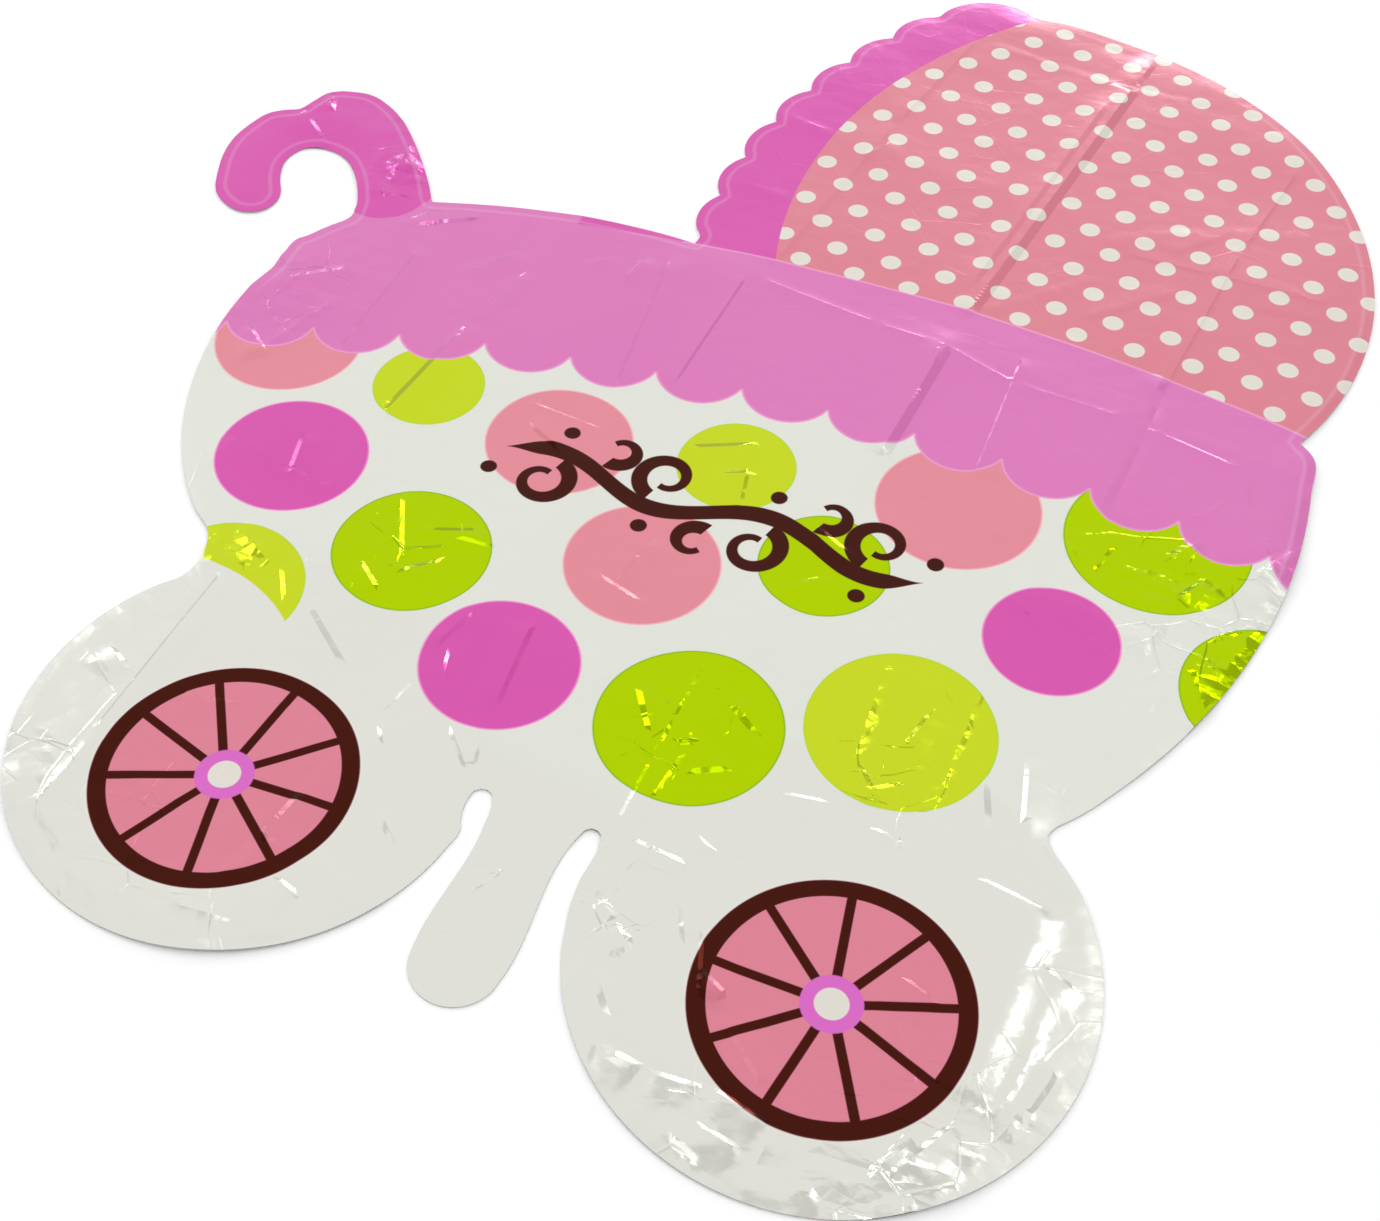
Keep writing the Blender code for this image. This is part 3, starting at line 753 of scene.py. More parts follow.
class Graph:
    """One node tree, with short calls that add a node and give its output."""

    def __init__(self, tree: bpy.types.NodeTree) -> None:
        """Works on an existing tree."""
        self.tree = tree

    def feed(self, socket: Socket, value: object) -> None:
        """Links a socket to another, or sets its value.

        Args:
            socket: The input to feed.
            value: The socket or value.
        """
        if isinstance(value, bpy.types.NodeSocket):
            self.tree.links.new(value, socket)
        else:
            socket.default_value = value

    def add(self, kind: str, inputs: dict | None = None, **settings: object) -> bpy.types.Node:
        """Adds a node.

        Args:
            kind: The node's type.
            inputs: Values or sockets for its inputs, by name or number.
            settings: The node's own settings.

        Returns:
            The node.
        """
        node = self.tree.nodes.new(kind)
        for name, value in settings.items():
            setattr(node, name, value)
        for key, value in (inputs or {}).items():
            self.feed(node.inputs[key], value)
        return node

    def math(self, operation: str, *values: object) -> Socket:
        """A sum, product or other function of numbers."""
        return self.add("ShaderNodeMath", dict(enumerate(values)), operation=operation).outputs[0]

    def vector(self, operation: str, *values: object) -> bpy.types.Node:
        """A function of vectors."""
        return self.add("ShaderNodeVectorMath", dict(enumerate(values)), operation=operation)

    def parts(self, vector: Socket) -> tuple[Socket, Socket]:
        """The x and y of a vector."""
        node = self.add("ShaderNodeSeparateXYZ", {0: vector})
        return node.outputs[0], node.outputs[1]

    def ramp(self, value: object, start: object, end: object, low: object = 0.0,
             high: object = 1.0) -> Socket:
        """A value carried smoothly from one range to another, and held at its ends.

        Args:
            value: The socket or value.
            start: Where the first range starts.
            end: Where it ends.
            low: What the start becomes.
            high: What the end becomes.

        Returns:
            The carried value.
        """
        node = self.add("ShaderNodeMapRange", {0: value, 1: start, 2: end, 3: low, 4: high},
                        interpolation_type="SMOOTHSTEP")
        return node.outputs[0]

    def below(self, value: object, edge: object, blur: float = 0.0004) -> Socket:
        """1 where a value is below an edge, else 0, with a narrow soft step."""
        return self.ramp(self.math("SUBTRACT", value, edge), -blur, blur, 1.0, 0.0)

    def colour(self, share: object, under: object, over: object) -> Socket:
        """Two colours mixed."""
        node = self.add("ShaderNodeMix", {0: share, 6: under, 7: over}, data_type="RGBA")
        return node.outputs[2]

    def value(self, share: object, under: object, over: object) -> Socket:
        """Two numbers mixed."""
        node = self.add("ShaderNodeMix", {0: share, 2: under, 3: over}, data_type="FLOAT")
        return node.outputs[0]

    def use(self, group: bpy.types.NodeTree, **inputs: object) -> bpy.types.Node:
        """Places a node group and sets its inputs.

        Args:
            group: The node group.
            inputs: Values or sockets for its inputs, by name.

        Returns:
            The group's node.
        """
        node = self.add("ShaderNodeGroup", node_tree=group)
        for name, value in inputs.items():
            self.feed(node.inputs[name], value)
        return node


def new_group(name: str, inputs: dict[str, str], outputs: dict[str, str]) -> tuple[Graph, dict, dict]:
    """Starts a shader node group with named sockets.

    Args:
        name: The group's name.
        inputs: Its inputs, each name with its socket type.
        outputs: Its outputs, each name with its socket type.

    Returns:
        The group's graph, its inputs as sockets to link from, and its outputs as sockets to link to.
    """
    tree = bpy.data.node_groups.new(name, "ShaderNodeTree")
    for label, kind in inputs.items():
        tree.interface.new_socket(label, in_out="INPUT", socket_type="NodeSocket" + kind)
    for label, kind in outputs.items():
        tree.interface.new_socket(label, in_out="OUTPUT", socket_type="NodeSocket" + kind)
    graph = Graph(tree)
    given = graph.add("NodeGroupInput")
    result = graph.add("NodeGroupOutput")
    return (graph, {label: given.outputs[label] for label in inputs},
            {label: result.inputs[label] for label in outputs})


def disc_group() -> bpy.types.NodeTree:
    """A printed disc: its mask, and how far inside its rim each place is.

    Returns:
        The node group.
    """
    graph, given, result = new_group(
        "printed_disc", {"Place": "Vector", "Centre": "Vector", "Radius": "Float"},
        {"Mask": "Float", "Inside": "Float"})
    away = graph.vector("DISTANCE", given["Place"], given["Centre"]).outputs["Value"]
    graph.feed(result["Mask"], graph.below(away, given["Radius"]))
    graph.feed(result["Inside"], graph.math("SUBTRACT", given["Radius"], away))
    return graph.tree


def curl_group() -> bpy.types.NodeTree:
    """One curl of the ornament: a bowed stroke that narrows from its root to its tip, with a round end.

    Returns:
        The node group.
    """
    graph, given, result = new_group(
        "ornament_curl", {"Place": "Vector", "Centre": "Vector", "Radius": "Float", "Start": "Float",
                          "Span": "Float", "Shrink": "Float", "Width": "Float", "Turn": "Float"},
        {"Mask": "Float"})
    offset = graph.vector("SUBTRACT", given["Place"], given["Centre"]).outputs[0]
    x, y = graph.parts(offset)
    angle = graph.math("SUBTRACT", graph.math("MULTIPLY", graph.math("ARCTAN2", y, x), given["Turn"]),
                       given["Start"])
    angle = graph.math("WRAP", angle, 2.0 * math.pi, 0.0)
    share = graph.math("DIVIDE", angle, given["Span"])
    away = graph.vector("LENGTH", offset).outputs["Value"]
    line = graph.math("SUBTRACT", given["Radius"], graph.math("MULTIPLY", share, given["Shrink"]))
    half = graph.math("MULTIPLY", given["Width"], graph.ramp(share, 0.0, 1.0, 1.0, 0.45))
    stroke = graph.below(graph.math("ABSOLUTE", graph.math("SUBTRACT", away, line)), half)
    graph.feed(result["Mask"], graph.math("MULTIPLY", stroke, graph.below(share, 1.0, 0.004)))
    return graph.tree


def wheel_group() -> bpy.types.NodeTree:
    """A printed wheel: rim, hub ring and spokes round a hub, each as its own mask.

    Returns:
        The node group.
    """
    graph, given, result = new_group(
        "printed_wheel", {"Place": "Vector", "Hub": "Vector", "Turn": "Float", "Rim": "Float",
                          "Felloe": "Float", "Spoke": "Float", "Ring": "Float", "Bore": "Float"},
        {"Keyline": "Float", "Sectors": "Float", "Dark": "Float", "Ring": "Float", "Bore": "Float"})
    offset = graph.vector("SUBTRACT", given["Place"], given["Hub"]).outputs[0]
    x, y = graph.parts(offset)
    away = graph.vector("LENGTH", offset).outputs["Value"]
    pitch = 2.0 * math.pi / Print.spokes
    angle = graph.math("SUBTRACT", graph.math("ARCTAN2", y, x), given["Turn"])
    turned = graph.math("PINGPONG", graph.math("ADD", angle, 4.0 * math.pi), pitch / 2)
    beside = graph.math("MULTIPLY", away, graph.math("SINE", turned))
    inner = graph.math("SUBTRACT", given["Rim"], given["Felloe"])
    spoke = graph.below(beside, graph.math("MULTIPLY", given["Spoke"], 0.5), SHARP)
    felloe = graph.below(inner, away, SHARP)
    graph.feed(result["Keyline"], graph.below(away, graph.math("ADD", given["Rim"], WHEEL_KEYLINE)))
    graph.feed(result["Sectors"], graph.below(away, given["Rim"]))
    graph.feed(result["Dark"], graph.math("MULTIPLY", graph.math("MAXIMUM", spoke, felloe),
                                          graph.below(away, given["Rim"])))
    graph.feed(result["Ring"], graph.below(away, given["Ring"]))
    graph.feed(result["Bore"], graph.below(away, given["Bore"]))
    return graph.tree


def dots_group() -> bpy.types.NodeTree:
    """One square-cornered lattice of dots.

    Returns:
        The node group.
    """
    graph, given, result = new_group(
        "dot_lattice", {"Place": "Vector", "Origin": "Vector", "Across": "Vector", "Up": "Vector",
                        "Radius": "Float"}, {"Mask": "Float"})
    offset = graph.vector("SUBTRACT", given["Place"], given["Origin"]).outputs[0]
    rest = offset
    for side in ("Across", "Up"):
        step = given[side]
        square = graph.vector("DOT_PRODUCT", step, step).outputs["Value"]
        count = graph.math("DIVIDE", graph.vector("DOT_PRODUCT", offset, step).outputs["Value"], square)
        whole = graph.math("ROUND", count)
        rest = graph.vector("SUBTRACT", rest, graph.add(
            "ShaderNodeVectorMath", {0: step, 3: whole}, operation="SCALE").outputs[0]).outputs[0]
    away = graph.vector("LENGTH", rest).outputs["Value"]
    graph.feed(result["Mask"], graph.below(away, given["Radius"]))
    return graph.tree


def valance_group() -> bpy.types.NodeTree:
    """The scalloped foot of the valance: its mask, and how far inside the scallops each place is.

    Returns:
        The node group.
    """
    graph, given, result = new_group(
        "valance_scallops", {"Place": "Vector", "Centre": "Vector", "Radius": "Float", "Pitch": "Float",
                             "Bow": "Float", "Drop": "Float", "Cusp": "Float", "Phase": "Float"},
        {"Mask": "Float", "Inside": "Float"})
    offset = graph.vector("SUBTRACT", given["Place"], given["Centre"]).outputs[0]
    x, y = graph.parts(offset)
    lift = graph.math("SUBTRACT", graph.vector("LENGTH", offset).outputs["Value"], given["Radius"])
    run = graph.math("MULTIPLY", graph.math("ARCTAN2", x, y), given["Radius"])
    cell = graph.math("WRAP", graph.math("DIVIDE", graph.math("SUBTRACT", run, given["Phase"]),
                                         given["Pitch"]), 1.0, 0.0)
    beside = graph.math("MULTIPLY", graph.math("SUBTRACT", cell, 0.5), given["Pitch"])
    under = graph.math("SUBTRACT", lift, graph.math("SUBTRACT", given["Bow"], given["Drop"]))
    away = graph.math("SQRT", graph.math("ADD", graph.math("MULTIPLY", beside, beside),
                                         graph.math("MULTIPLY", under, under)))
    inside = graph.math("MAXIMUM", graph.math("SUBTRACT", given["Bow"], away),
                        graph.math("SUBTRACT", lift, given["Cusp"]))
    graph.feed(result["Inside"], inside)
    graph.feed(result["Mask"], graph.below(0.0, inside))
    return graph.tree


def lay_ink_group() -> bpy.types.NodeTree:
    """Lays one ink over what is printed already: colour, metallic share, roughness and coat together.

    Returns:
        The node group.
    """
    graph, given, result = new_group(
        "lay_ink", {"Mask": "Float", "Under Colour": "Color", "Under Metallic": "Float",
                    "Under Roughness": "Float", "Under Coat": "Float", "Ink Colour": "Color",
                    "Ink Metallic": "Float", "Ink Roughness": "Float", "Ink Coat": "Float"},
        {"Colour": "Color", "Metallic": "Float", "Roughness": "Float", "Coat": "Float"})
    graph.feed(result["Colour"], graph.colour(given["Mask"], given["Under Colour"], given["Ink Colour"]))
    for side in ("Metallic", "Roughness", "Coat"):
        graph.feed(result[side], graph.value(given["Mask"], given["Under " + side], given["Ink " + side]))
    return graph.tree


def crinkle_group() -> bpy.types.NodeTree:
    """The fine crinkle of thin foil, as a height: small flat facets, and a few sharp short wrinkles.

    Returns:
        The node group.
    """
    graph, given, result = new_group("foil_crinkle", {"Place": "Vector", "Amount": "Float"},
                                     {"Height": "Float"})
    bent = graph.add("ShaderNodeTexNoise", {"Vector": given["Place"], "Scale": 30.0, "Detail": 1.0},
                     noise_dimensions="2D").outputs["Color"]
    bent = graph.add("ShaderNodeVectorMath", {0: bent, 1: (0.008, 0.008, 0.0), 2: given["Place"]},
                     operation="MULTIPLY_ADD").outputs[0]
    total: object = 0.0
    for scale, turn, stretch, weight in ((38.0, 0.4, 1.7, 0.0009), (95.0, 1.9, 1.5, 0.0005),
                                         (210.0, 1.1, 1.3, 0.0002)):
        turned = graph.add("ShaderNodeMapping", {"Vector": bent, "Rotation": (0.0, 0.0, turn),
                                                 "Scale": (1.0, stretch, 1.0)}).outputs[0]
        facets = graph.add("ShaderNodeTexVoronoi", {"Vector": turned, "Scale": scale},
                           voronoi_dimensions="2D", feature="DISTANCE_TO_EDGE").outputs["Distance"]
        total = graph.math("MULTIPLY_ADD", facets, weight * 38.0 / scale, total)
    for scale, seed, tall in ((26.0, 3.0, 0.00022), (44.0, 8.0, 0.00014)):
        moved = graph.vector("ADD", bent, (seed, seed * 0.7, 0.0)).outputs[0]
        lines = graph.add("ShaderNodeTexVoronoi", {"Vector": moved, "Scale": scale},
                          voronoi_dimensions="2D", feature="DISTANCE_TO_EDGE").outputs["Distance"]
        ridge = graph.ramp(lines, 0.0, 0.0011 * scale, 1.0, 0.0)
        spread = graph.add("ShaderNodeTexNoise", {"Vector": moved, "Scale": 17.0, "Detail": 1.0},
                           noise_dimensions="2D").outputs[0]
        some = graph.ramp(spread, 0.50, 0.62)
        total = graph.math("ADD", total, graph.math("MULTIPLY", graph.math("MULTIPLY", ridge, some), tall))
    graph.feed(result["Height"], graph.math("MULTIPLY", total, given["Amount"]))
    return graph.tree


@dataclass(frozen=True)
class Ink:
    """One finish of the print: colour, how much of the foil shines through it, roughness and gloss coat."""
    colour: tuple[float, float, float, float]
    metallic: float
    roughness: float
    coat: float = 0.25

    def values(self) -> tuple:
        """The colour, metallic share, roughness and coat in the order of the print's sockets."""
        return self.colour, self.metallic, self.roughness, self.coat


class Inks(Enum):
    """The finishes of the front film."""
    SILVER = Ink(srgb(213, 213, 205), 0.60, 0.17, 0.40)
    WHITE = Ink(srgb(215, 216, 207), 0.20, 0.24, 0.40)
    VALANCE = Ink(srgb(209, 106, 175), 0.28, 0.24, 0.45)
    MAGENTA = Ink(srgb(205, 62, 162), 0.32, 0.22, 0.45)
    HOOD = Ink(srgb(211, 115, 132), 0.20, 0.24, 0.40)
    HOOD_DOT = Ink(srgb(215, 210, 199), 0.15, 0.28, 0.40)
    PINK = Ink(srgb(217, 126, 140), 0.22, 0.24, 0.40)
    LIME = Ink(srgb(168, 198, 1), 1.0, 0.13, 0.03)
    LIME_LIGHT = Ink(srgb(190, 206, 36), 0.95, 0.15, 0.03)
    BROWN = Ink(srgb(66, 24, 16), 1.0, 0.12, 0.02)
    SECTOR = Ink(srgb(211, 116, 137), 0.30, 0.20, 0.45)
    HUB_RING = Ink(srgb(207, 88, 186), 0.30, 0.24, 0.40)
    ORNAMENT = Ink(srgb(66, 28, 22), 1.0, 0.16, 0.02)


@dataclass(frozen=True)
class Spot:
    """One printed disc: its middle, its radius and its ink."""
    centre: Place
    radius: float
    ink: Inks


@dataclass(frozen=True)
class Curl:
    """One stroke of the ornament, bowed round a middle.

    Args:
        centre: The middle it bows round.
        radius: The bow's radius at its root.
        start: The direction of its root, in degrees.
        span: How far it goes round, in degrees.
        shrink: How much nearer its tip is to the middle.
        turn: 1 to go anticlockwise, -1 to go clockwise.
    """
    centre: Place
    radius: float
    start: float
    span: float
    shrink: float
    turn: int


@dataclass
class Print:
    """The print of the front film, from the foil up."""
    spokes = 9
    spots: tuple = (
        Spot((-0.2576, 0.2525), 0.0387, Inks.PINK), Spot((-0.1742, 0.2512), 0.0288, Inks.LIME_LIGHT),
        Spot((-0.0957, 0.2422), 0.0373, Inks.PINK), Spot((-0.0075, 0.2618), 0.0299, Inks.LIME_LIGHT),
        Spot((0.0555, 0.2175), 0.0317, Inks.LIME), Spot((0.1022, 0.2805), 0.0410, Inks.PINK),
        Spot((0.1979, 0.2968), 0.0453, Inks.LIME), Spot((0.2670, 0.2245), 0.0397, Inks.LIME),
        Spot((-0.2128, 0.1792), 0.0383, Inks.MAGENTA), Spot((-0.1283, 0.1475), 0.0383, Inks.LIME),
        Spot((-0.0243, 0.1843), 0.0378, Inks.PINK), Spot((-0.0588, 0.1022), 0.0373, Inks.MAGENTA),
        Spot((0.1680, 0.2175), 0.0322, Inks.MAGENTA), Spot((0.0340, 0.1045), 0.0429, Inks.LIME),
        Spot((0.1213, 0.1400), 0.0434, Inks.LIME_LIGHT), Spot((-0.1997, 0.0915), 0.0397, Inks.LIME_LIGHT))
    keylines: dict = field(default_factory=lambda: {
        Inks.MAGENTA: srgb(240, 150, 205), Inks.PINK: srgb(240, 172, 186),
        Inks.LIME: srgb(110, 165, 20), Inks.LIME_LIGHT: srgb(165, 205, 40)})
    keyline: float = 0.0007
    keyline_strength: float = 0.7
    lobes: tuple = (((-0.1402, 0.0200), 0.1130), ((0.1333, 0.0200), 0.1160))
    lobe_fade: float = 0.0120
    crescent_cut: tuple = ((-0.2135, 0.0180), 0.0850)
    neck_y: float = 0.0620
    hood_border: tuple = ((0.040, -0.590), 1.010)
    trim_border: tuple = ((0.225, 0.500), 0.285)
    valance_centre: Place = (0.090, -0.761)
    valance_radius: float = 1.080
    valance_pitch: float = 0.0460
    valance_bow: float = 0.0245
    valance_drop: float = 0.0155
    valance_cusp_x: float = 0.0660
    valance_fade: float = 0.0018
    valance_pale: tuple = srgb(240, 176, 216)
    fade_strength: float = 0.55
    trim_left_x: float = -0.160
    border_line: float = 0.0012
    border_left_x: float = -0.100
    border_strength: float = 0.5
    soft: float = 0.001
    handle_foot: tuple = ((-0.2720, 0.3830), 0.0250)
    handle_root_x: float = -0.2455
    handle_hook: Place = (-0.305, 0.330)
    dot_origin: Place = (0.1356, 0.4778)
    dot_across: Place = (0.03127, 0.00044)
    dot_up: Place = (-0.00059, 0.03550)
    dot_shift: Place = (0.01534, 0.01917)
    dot_radius: float = 0.0056
    hubs: tuple = (((-0.1403, -0.0007), math.radians(4.2)), ((0.1405, 0.0005), math.radians(20.7)))
    rim: float = 0.0585
    felloe: float = 0.0080
    spoke: float = 0.0042
    hub_ring: float = 0.0130
    bore: float = 0.0072
    stem: tuple = ((-0.120, 0.104), 0.2275, 0.0085, 0.1120)
    stem_width: float = 0.0050
    stem_taper: float = 0.020
    stem_end: float = 0.02
    curl_width: float = 0.0042
    curls: tuple = (
        Curl((-0.0920, 0.2140), 0.0150, 75.0, 400.0, 0.0095, -1),
        Curl((-0.0360, 0.2410), 0.0150, 255.0, 400.0, 0.0095, -1),
        Curl((0.0200, 0.2140), 0.0150, 75.0, 400.0, 0.0095, -1),
        Curl((0.0760, 0.2410), 0.0150, 255.0, 400.0, 0.0095, -1),
        Curl((-0.0640, 0.2480), 0.0100, 250.0, 250.0, 0.0040, 1),
        Curl((-0.0080, 0.2070), 0.0100, 70.0, 250.0, 0.0040, 1),
        Curl((0.0480, 0.2480), 0.0100, 250.0, 250.0, 0.0040, 1))
    buds: tuple = ((-0.1200, 0.2120), (-0.0920, 0.2500), (-0.0360, 0.2060), (0.0200, 0.2500),
                   (0.0760, 0.2060), (0.1040, 0.2400))
    bud: float = 0.0042
    seal_depth: float = 0.0056
    seal_width: float = 0.00192
    seal_fade: Place = (0.270, 0.300)
    seal_strength: float = 0.14
    seal_ink: Ink = Ink(srgb(236, 204, 226), 0.2, 0.4)
    coat_roughness: float = 0.10

    def __post_init__(self) -> None:
        """Makes the node groups that the print is built of."""
        self.disc = disc_group()
        self.curl = curl_group()
        self.wheel = wheel_group()
        self.dots = dots_group()
        self.valance = valance_group()
        self.lay_ink = lay_ink_group()

    def lay(self, graph: Graph, under: tuple, ink: Ink, mask: Socket) -> tuple:
        """Lays one ink over the print so far.

        Args:
            graph: The material's graph.
            under: The colour, metallic share, roughness and coat so far.
            ink: The ink.
            mask: Where it goes.

        Returns:
            The same four with the ink on.
        """
        node = graph.use(self.lay_ink, Mask=mask)
        for label, below, value in zip(("Colour", "Metallic", "Roughness", "Coat"), under, ink.values()):
            graph.feed(node.inputs["Under " + label], below)
            node.inputs["Ink " + label].default_value = value
        return tuple(node.outputs)

    def away(self, graph: Graph, place: Socket, centre: Place) -> Socket:
        """How far each place is from a middle."""
        return graph.vector("DISTANCE", place, (*centre, 0.0)).outputs["Value"]

    def body(self, graph: Graph, place: Socket) -> tuple:
        """Bare foil on the wheel lobes and tail, and white ink over the basket.

        Args:
            graph: The material's graph.
            place: Places on the print.

        Returns:
            The colour, metallic share, roughness and coat.
        """
        _, y = graph.parts(place)
        white = graph.ramp(y, self.neck_y - self.lobe_fade, self.neck_y + self.lobe_fade)
        for centre, radius in self.lobes:
            clear = graph.ramp(self.away(graph, place, centre), radius - self.lobe_fade, radius)
            white = graph.math("MULTIPLY", white, clear)
        return self.lay(graph, Inks.SILVER.value.values(), Inks.WHITE.value, white)

    def lay_spots(self, graph: Graph, place: Socket, under: tuple) -> tuple:
        """The discs, each with a thin line at its rim; the left wheel lobe cuts one off below.

        Args:
            graph: The material's graph.
            place: Places on the print.
            under: The colour, metallic share, roughness and coat so far.

        Returns:
            The same four with these inks on.
        """
        centre, radius = self.crescent_cut
        above = graph.below(radius, self.away(graph, place, centre))
        masks: dict[Inks, tuple] = {}
        for spot in self.spots:
            disc = graph.use(self.disc, Place=place, Centre=(*spot.centre, 0.0), Radius=spot.radius)
            mask = disc.outputs["Mask"]
            if spot is self.spots[-1]:
                mask = graph.math("MULTIPLY", mask, above)
            rim = graph.math("MULTIPLY", mask, graph.below(disc.outputs["Inside"], self.keyline, SHARP))
            discs, rims = masks.get(spot.ink, (0.0, 0.0))
            masks[spot.ink] = (graph.math("MAXIMUM", discs, mask), graph.math("MAXIMUM", rims, rim))
        for choice, (discs, rims) in masks.items():
            ink = choice.value
            under = self.lay(graph, under, ink, discs)
            tint = Ink(self.keylines[choice], ink.metallic, ink.roughness, ink.coat)
            under = self.lay(graph, under, tint, graph.math("MULTIPLY", rims, self.keyline_strength))
        return under

    def lay_carriage(self, graph: Graph, place: Socket, under: tuple) -> tuple:
        """The valance, the hood with its dots and trim, and the handle.

        Args:
            graph: The material's graph.
            place: Places on the print.
            under: The colour, metallic share, roughness and coat so far.

        Returns:
            The same four with these inks on.
        """
        x, y = graph.parts(place)
        centre, radius = self.hood_border
        border = self.away(graph, place, centre)
        above = graph.below(radius, border)
        run = math.atan2(self.valance_cusp_x - self.valance_centre[0], self.valance_radius)
        cusp = self.valance_bow - self.valance_drop \
            - math.sqrt(self.valance_bow ** 2 - self.valance_pitch ** 2 / 4)
        scallops = graph.use(self.valance, Place=place, Centre=(*self.valance_centre, 0.0),
                             Radius=self.valance_radius, Pitch=self.valance_pitch, Bow=self.valance_bow,
                             Drop=self.valance_drop, Cusp=cusp, Phase=run * self.valance_radius)
        valance = Inks.VALANCE.value
        under = self.lay(graph, under, valance, scallops.outputs["Mask"])
        pale = Ink(self.valance_pale, valance.metallic, valance.roughness)
        fade = graph.ramp(scallops.outputs["Inside"], 0.0, self.valance_fade, self.fade_strength, 0.0)
        under = self.lay(graph, under, pale, graph.math("MULTIPLY", scallops.outputs["Mask"], fade))
        trim = graph.math("MULTIPLY", above, graph.below(self.trim_left_x, x, self.soft))
        under = self.lay(graph, under, Inks.MAGENTA.value, trim)
        line = graph.math("ABSOLUTE", graph.math("SUBTRACT", border, radius))
        line = graph.math("MULTIPLY", graph.ramp(line, 0.0, self.border_line, self.border_strength, 0.0),
                          graph.below(self.border_left_x, x, self.soft))
        centre, radius = self.trim_border
        hood = graph.math("MULTIPLY", above, graph.below(self.away(graph, place, centre), radius))
        under = self.lay(graph, under, Inks.HOOD.value, hood)
        dots: object = 0.0
        for shift in ((0.0, 0.0), self.dot_shift):
            origin = (self.dot_origin[0] + shift[0], self.dot_origin[1] + shift[1], 0.0)
            lattice = graph.use(self.dots, Place=place, Origin=origin, Across=(*self.dot_across, 0.0),
                                Up=(*self.dot_up, 0.0), Radius=self.dot_radius)
            dots = graph.math("MAXIMUM", dots, lattice.outputs["Mask"])
        under = self.lay(graph, under, Inks.HOOD_DOT.value, graph.math("MULTIPLY", hood, dots))
        under = self.lay(graph, under, pale, line)
        centre, radius = self.handle_foot
        foot = graph.below(self.away(graph, place, centre), radius)
        rest = graph.math("MULTIPLY", graph.below(x, self.handle_root_x), graph.below(centre[1], y))
        hook_x, hook_y = self.handle_hook
        far = graph.math("MULTIPLY", graph.below(x, hook_x), graph.below(hook_y, y))
        handle = graph.math("MAXIMUM", graph.math("MAXIMUM", foot, rest), far)
        return self.lay(graph, under, Inks.MAGENTA.value, handle)

    def lay_wheels(self, graph: Graph, place: Socket, under: tuple) -> tuple:
        """The two wheels.

        Args:
            graph: The material's graph.
            place: Places on the print.
            under: The colour, metallic share, roughness and coat so far.

        Returns:
            The same four with these inks on.
        """
        wheels = [graph.use(self.wheel, Place=place, Hub=(*hub, 0.0), Turn=turn, Rim=self.rim,
                            Felloe=self.felloe, Spoke=self.spoke, Ring=self.hub_ring, Bore=self.bore)
                  for hub, turn in self.hubs]
        for part, ink in (("Keyline", Inks.WHITE), ("Sectors", Inks.SECTOR), ("Dark", Inks.BROWN),
                          ("Ring", Inks.HUB_RING), ("Bore", Inks.HOOD_DOT)):
            both = graph.math("MAXIMUM", *[wheel.outputs[part] for wheel in wheels])
            under = self.lay(graph, under, ink.value, both)
        return under

    def lay_ornament(self, graph: Graph, place: Socket, under: tuple) -> tuple:
        """A scroll of curls across the basket: a waving stem, curls in its hollows, and buds.

        Args:
            graph: The material's graph.
            place: Places on the print.
            under: The colour, metallic share, roughness and coat so far.

        Returns:
            The same four with these inks on.
        """
        (start, end), level, sway, wave = self.stem
        x, y = graph.parts(place)
        swing = graph.math("SINE", graph.math("MULTIPLY", graph.math("SUBTRACT", x, start),
                                              2.0 * math.pi / wave))
        line = graph.math("ADD", graph.math("MULTIPLY", swing, sway), level)
        ends = graph.math("MULTIPLY", graph.ramp(x, start, start + self.stem_taper),
                          graph.ramp(x, end - self.stem_taper, end, 1.0, 0.0))
        half = graph.math("MULTIPLY", ends, self.stem_width)
        mask = graph.below(graph.math("ABSOLUTE", graph.math("SUBTRACT", y, line)), half)
        mask = graph.math("MULTIPLY", mask, graph.math("GREATER_THAN", ends, self.stem_end))
        for curl in self.curls:
            stroke = graph.use(self.curl, Place=place, Centre=(*curl.centre, 0.0), Radius=curl.radius,
                               Start=math.radians(curl.start * curl.turn), Span=math.radians(curl.span),
                               Shrink=curl.shrink, Width=self.curl_width, Turn=float(curl.turn))
            mask = graph.math("MAXIMUM", mask, stroke.outputs["Mask"])
        for bud in self.buds:
            dot = graph.use(self.disc, Place=place, Centre=(*bud, 0.0), Radius=self.bud)
            mask = graph.math("MAXIMUM", mask, dot.outputs["Mask"])
        return self.lay(graph, under, Inks.ORNAMENT.value, mask)

    def seal_line(self, graph: Graph, place: Socket, under: tuple) -> tuple:
        """The paler line that the heat seal leaves inside the edge of the hood, trim, valance and handle.

        Args:
            graph: The material's graph.
            place: Places on the print.
            under: The colour, metallic share, roughness and coat so far.

        Returns:
            The same four with these inks on.
        """
        inside = graph.add("ShaderNodeAttribute", attribute_name="inside").outputs["Fac"]
        away = graph.math("ABSOLUTE", graph.math("SUBTRACT", inside, self.seal_depth))
        _, y = graph.parts(place)
        printed = graph.ramp(y, *self.seal_fade, 0.0, self.seal_strength)
        line = graph.math("MULTIPLY", graph.ramp(away, 0.0, self.seal_width, 1.0, 0.0), printed)
        return self.lay(graph, under, self.seal_ink, line)

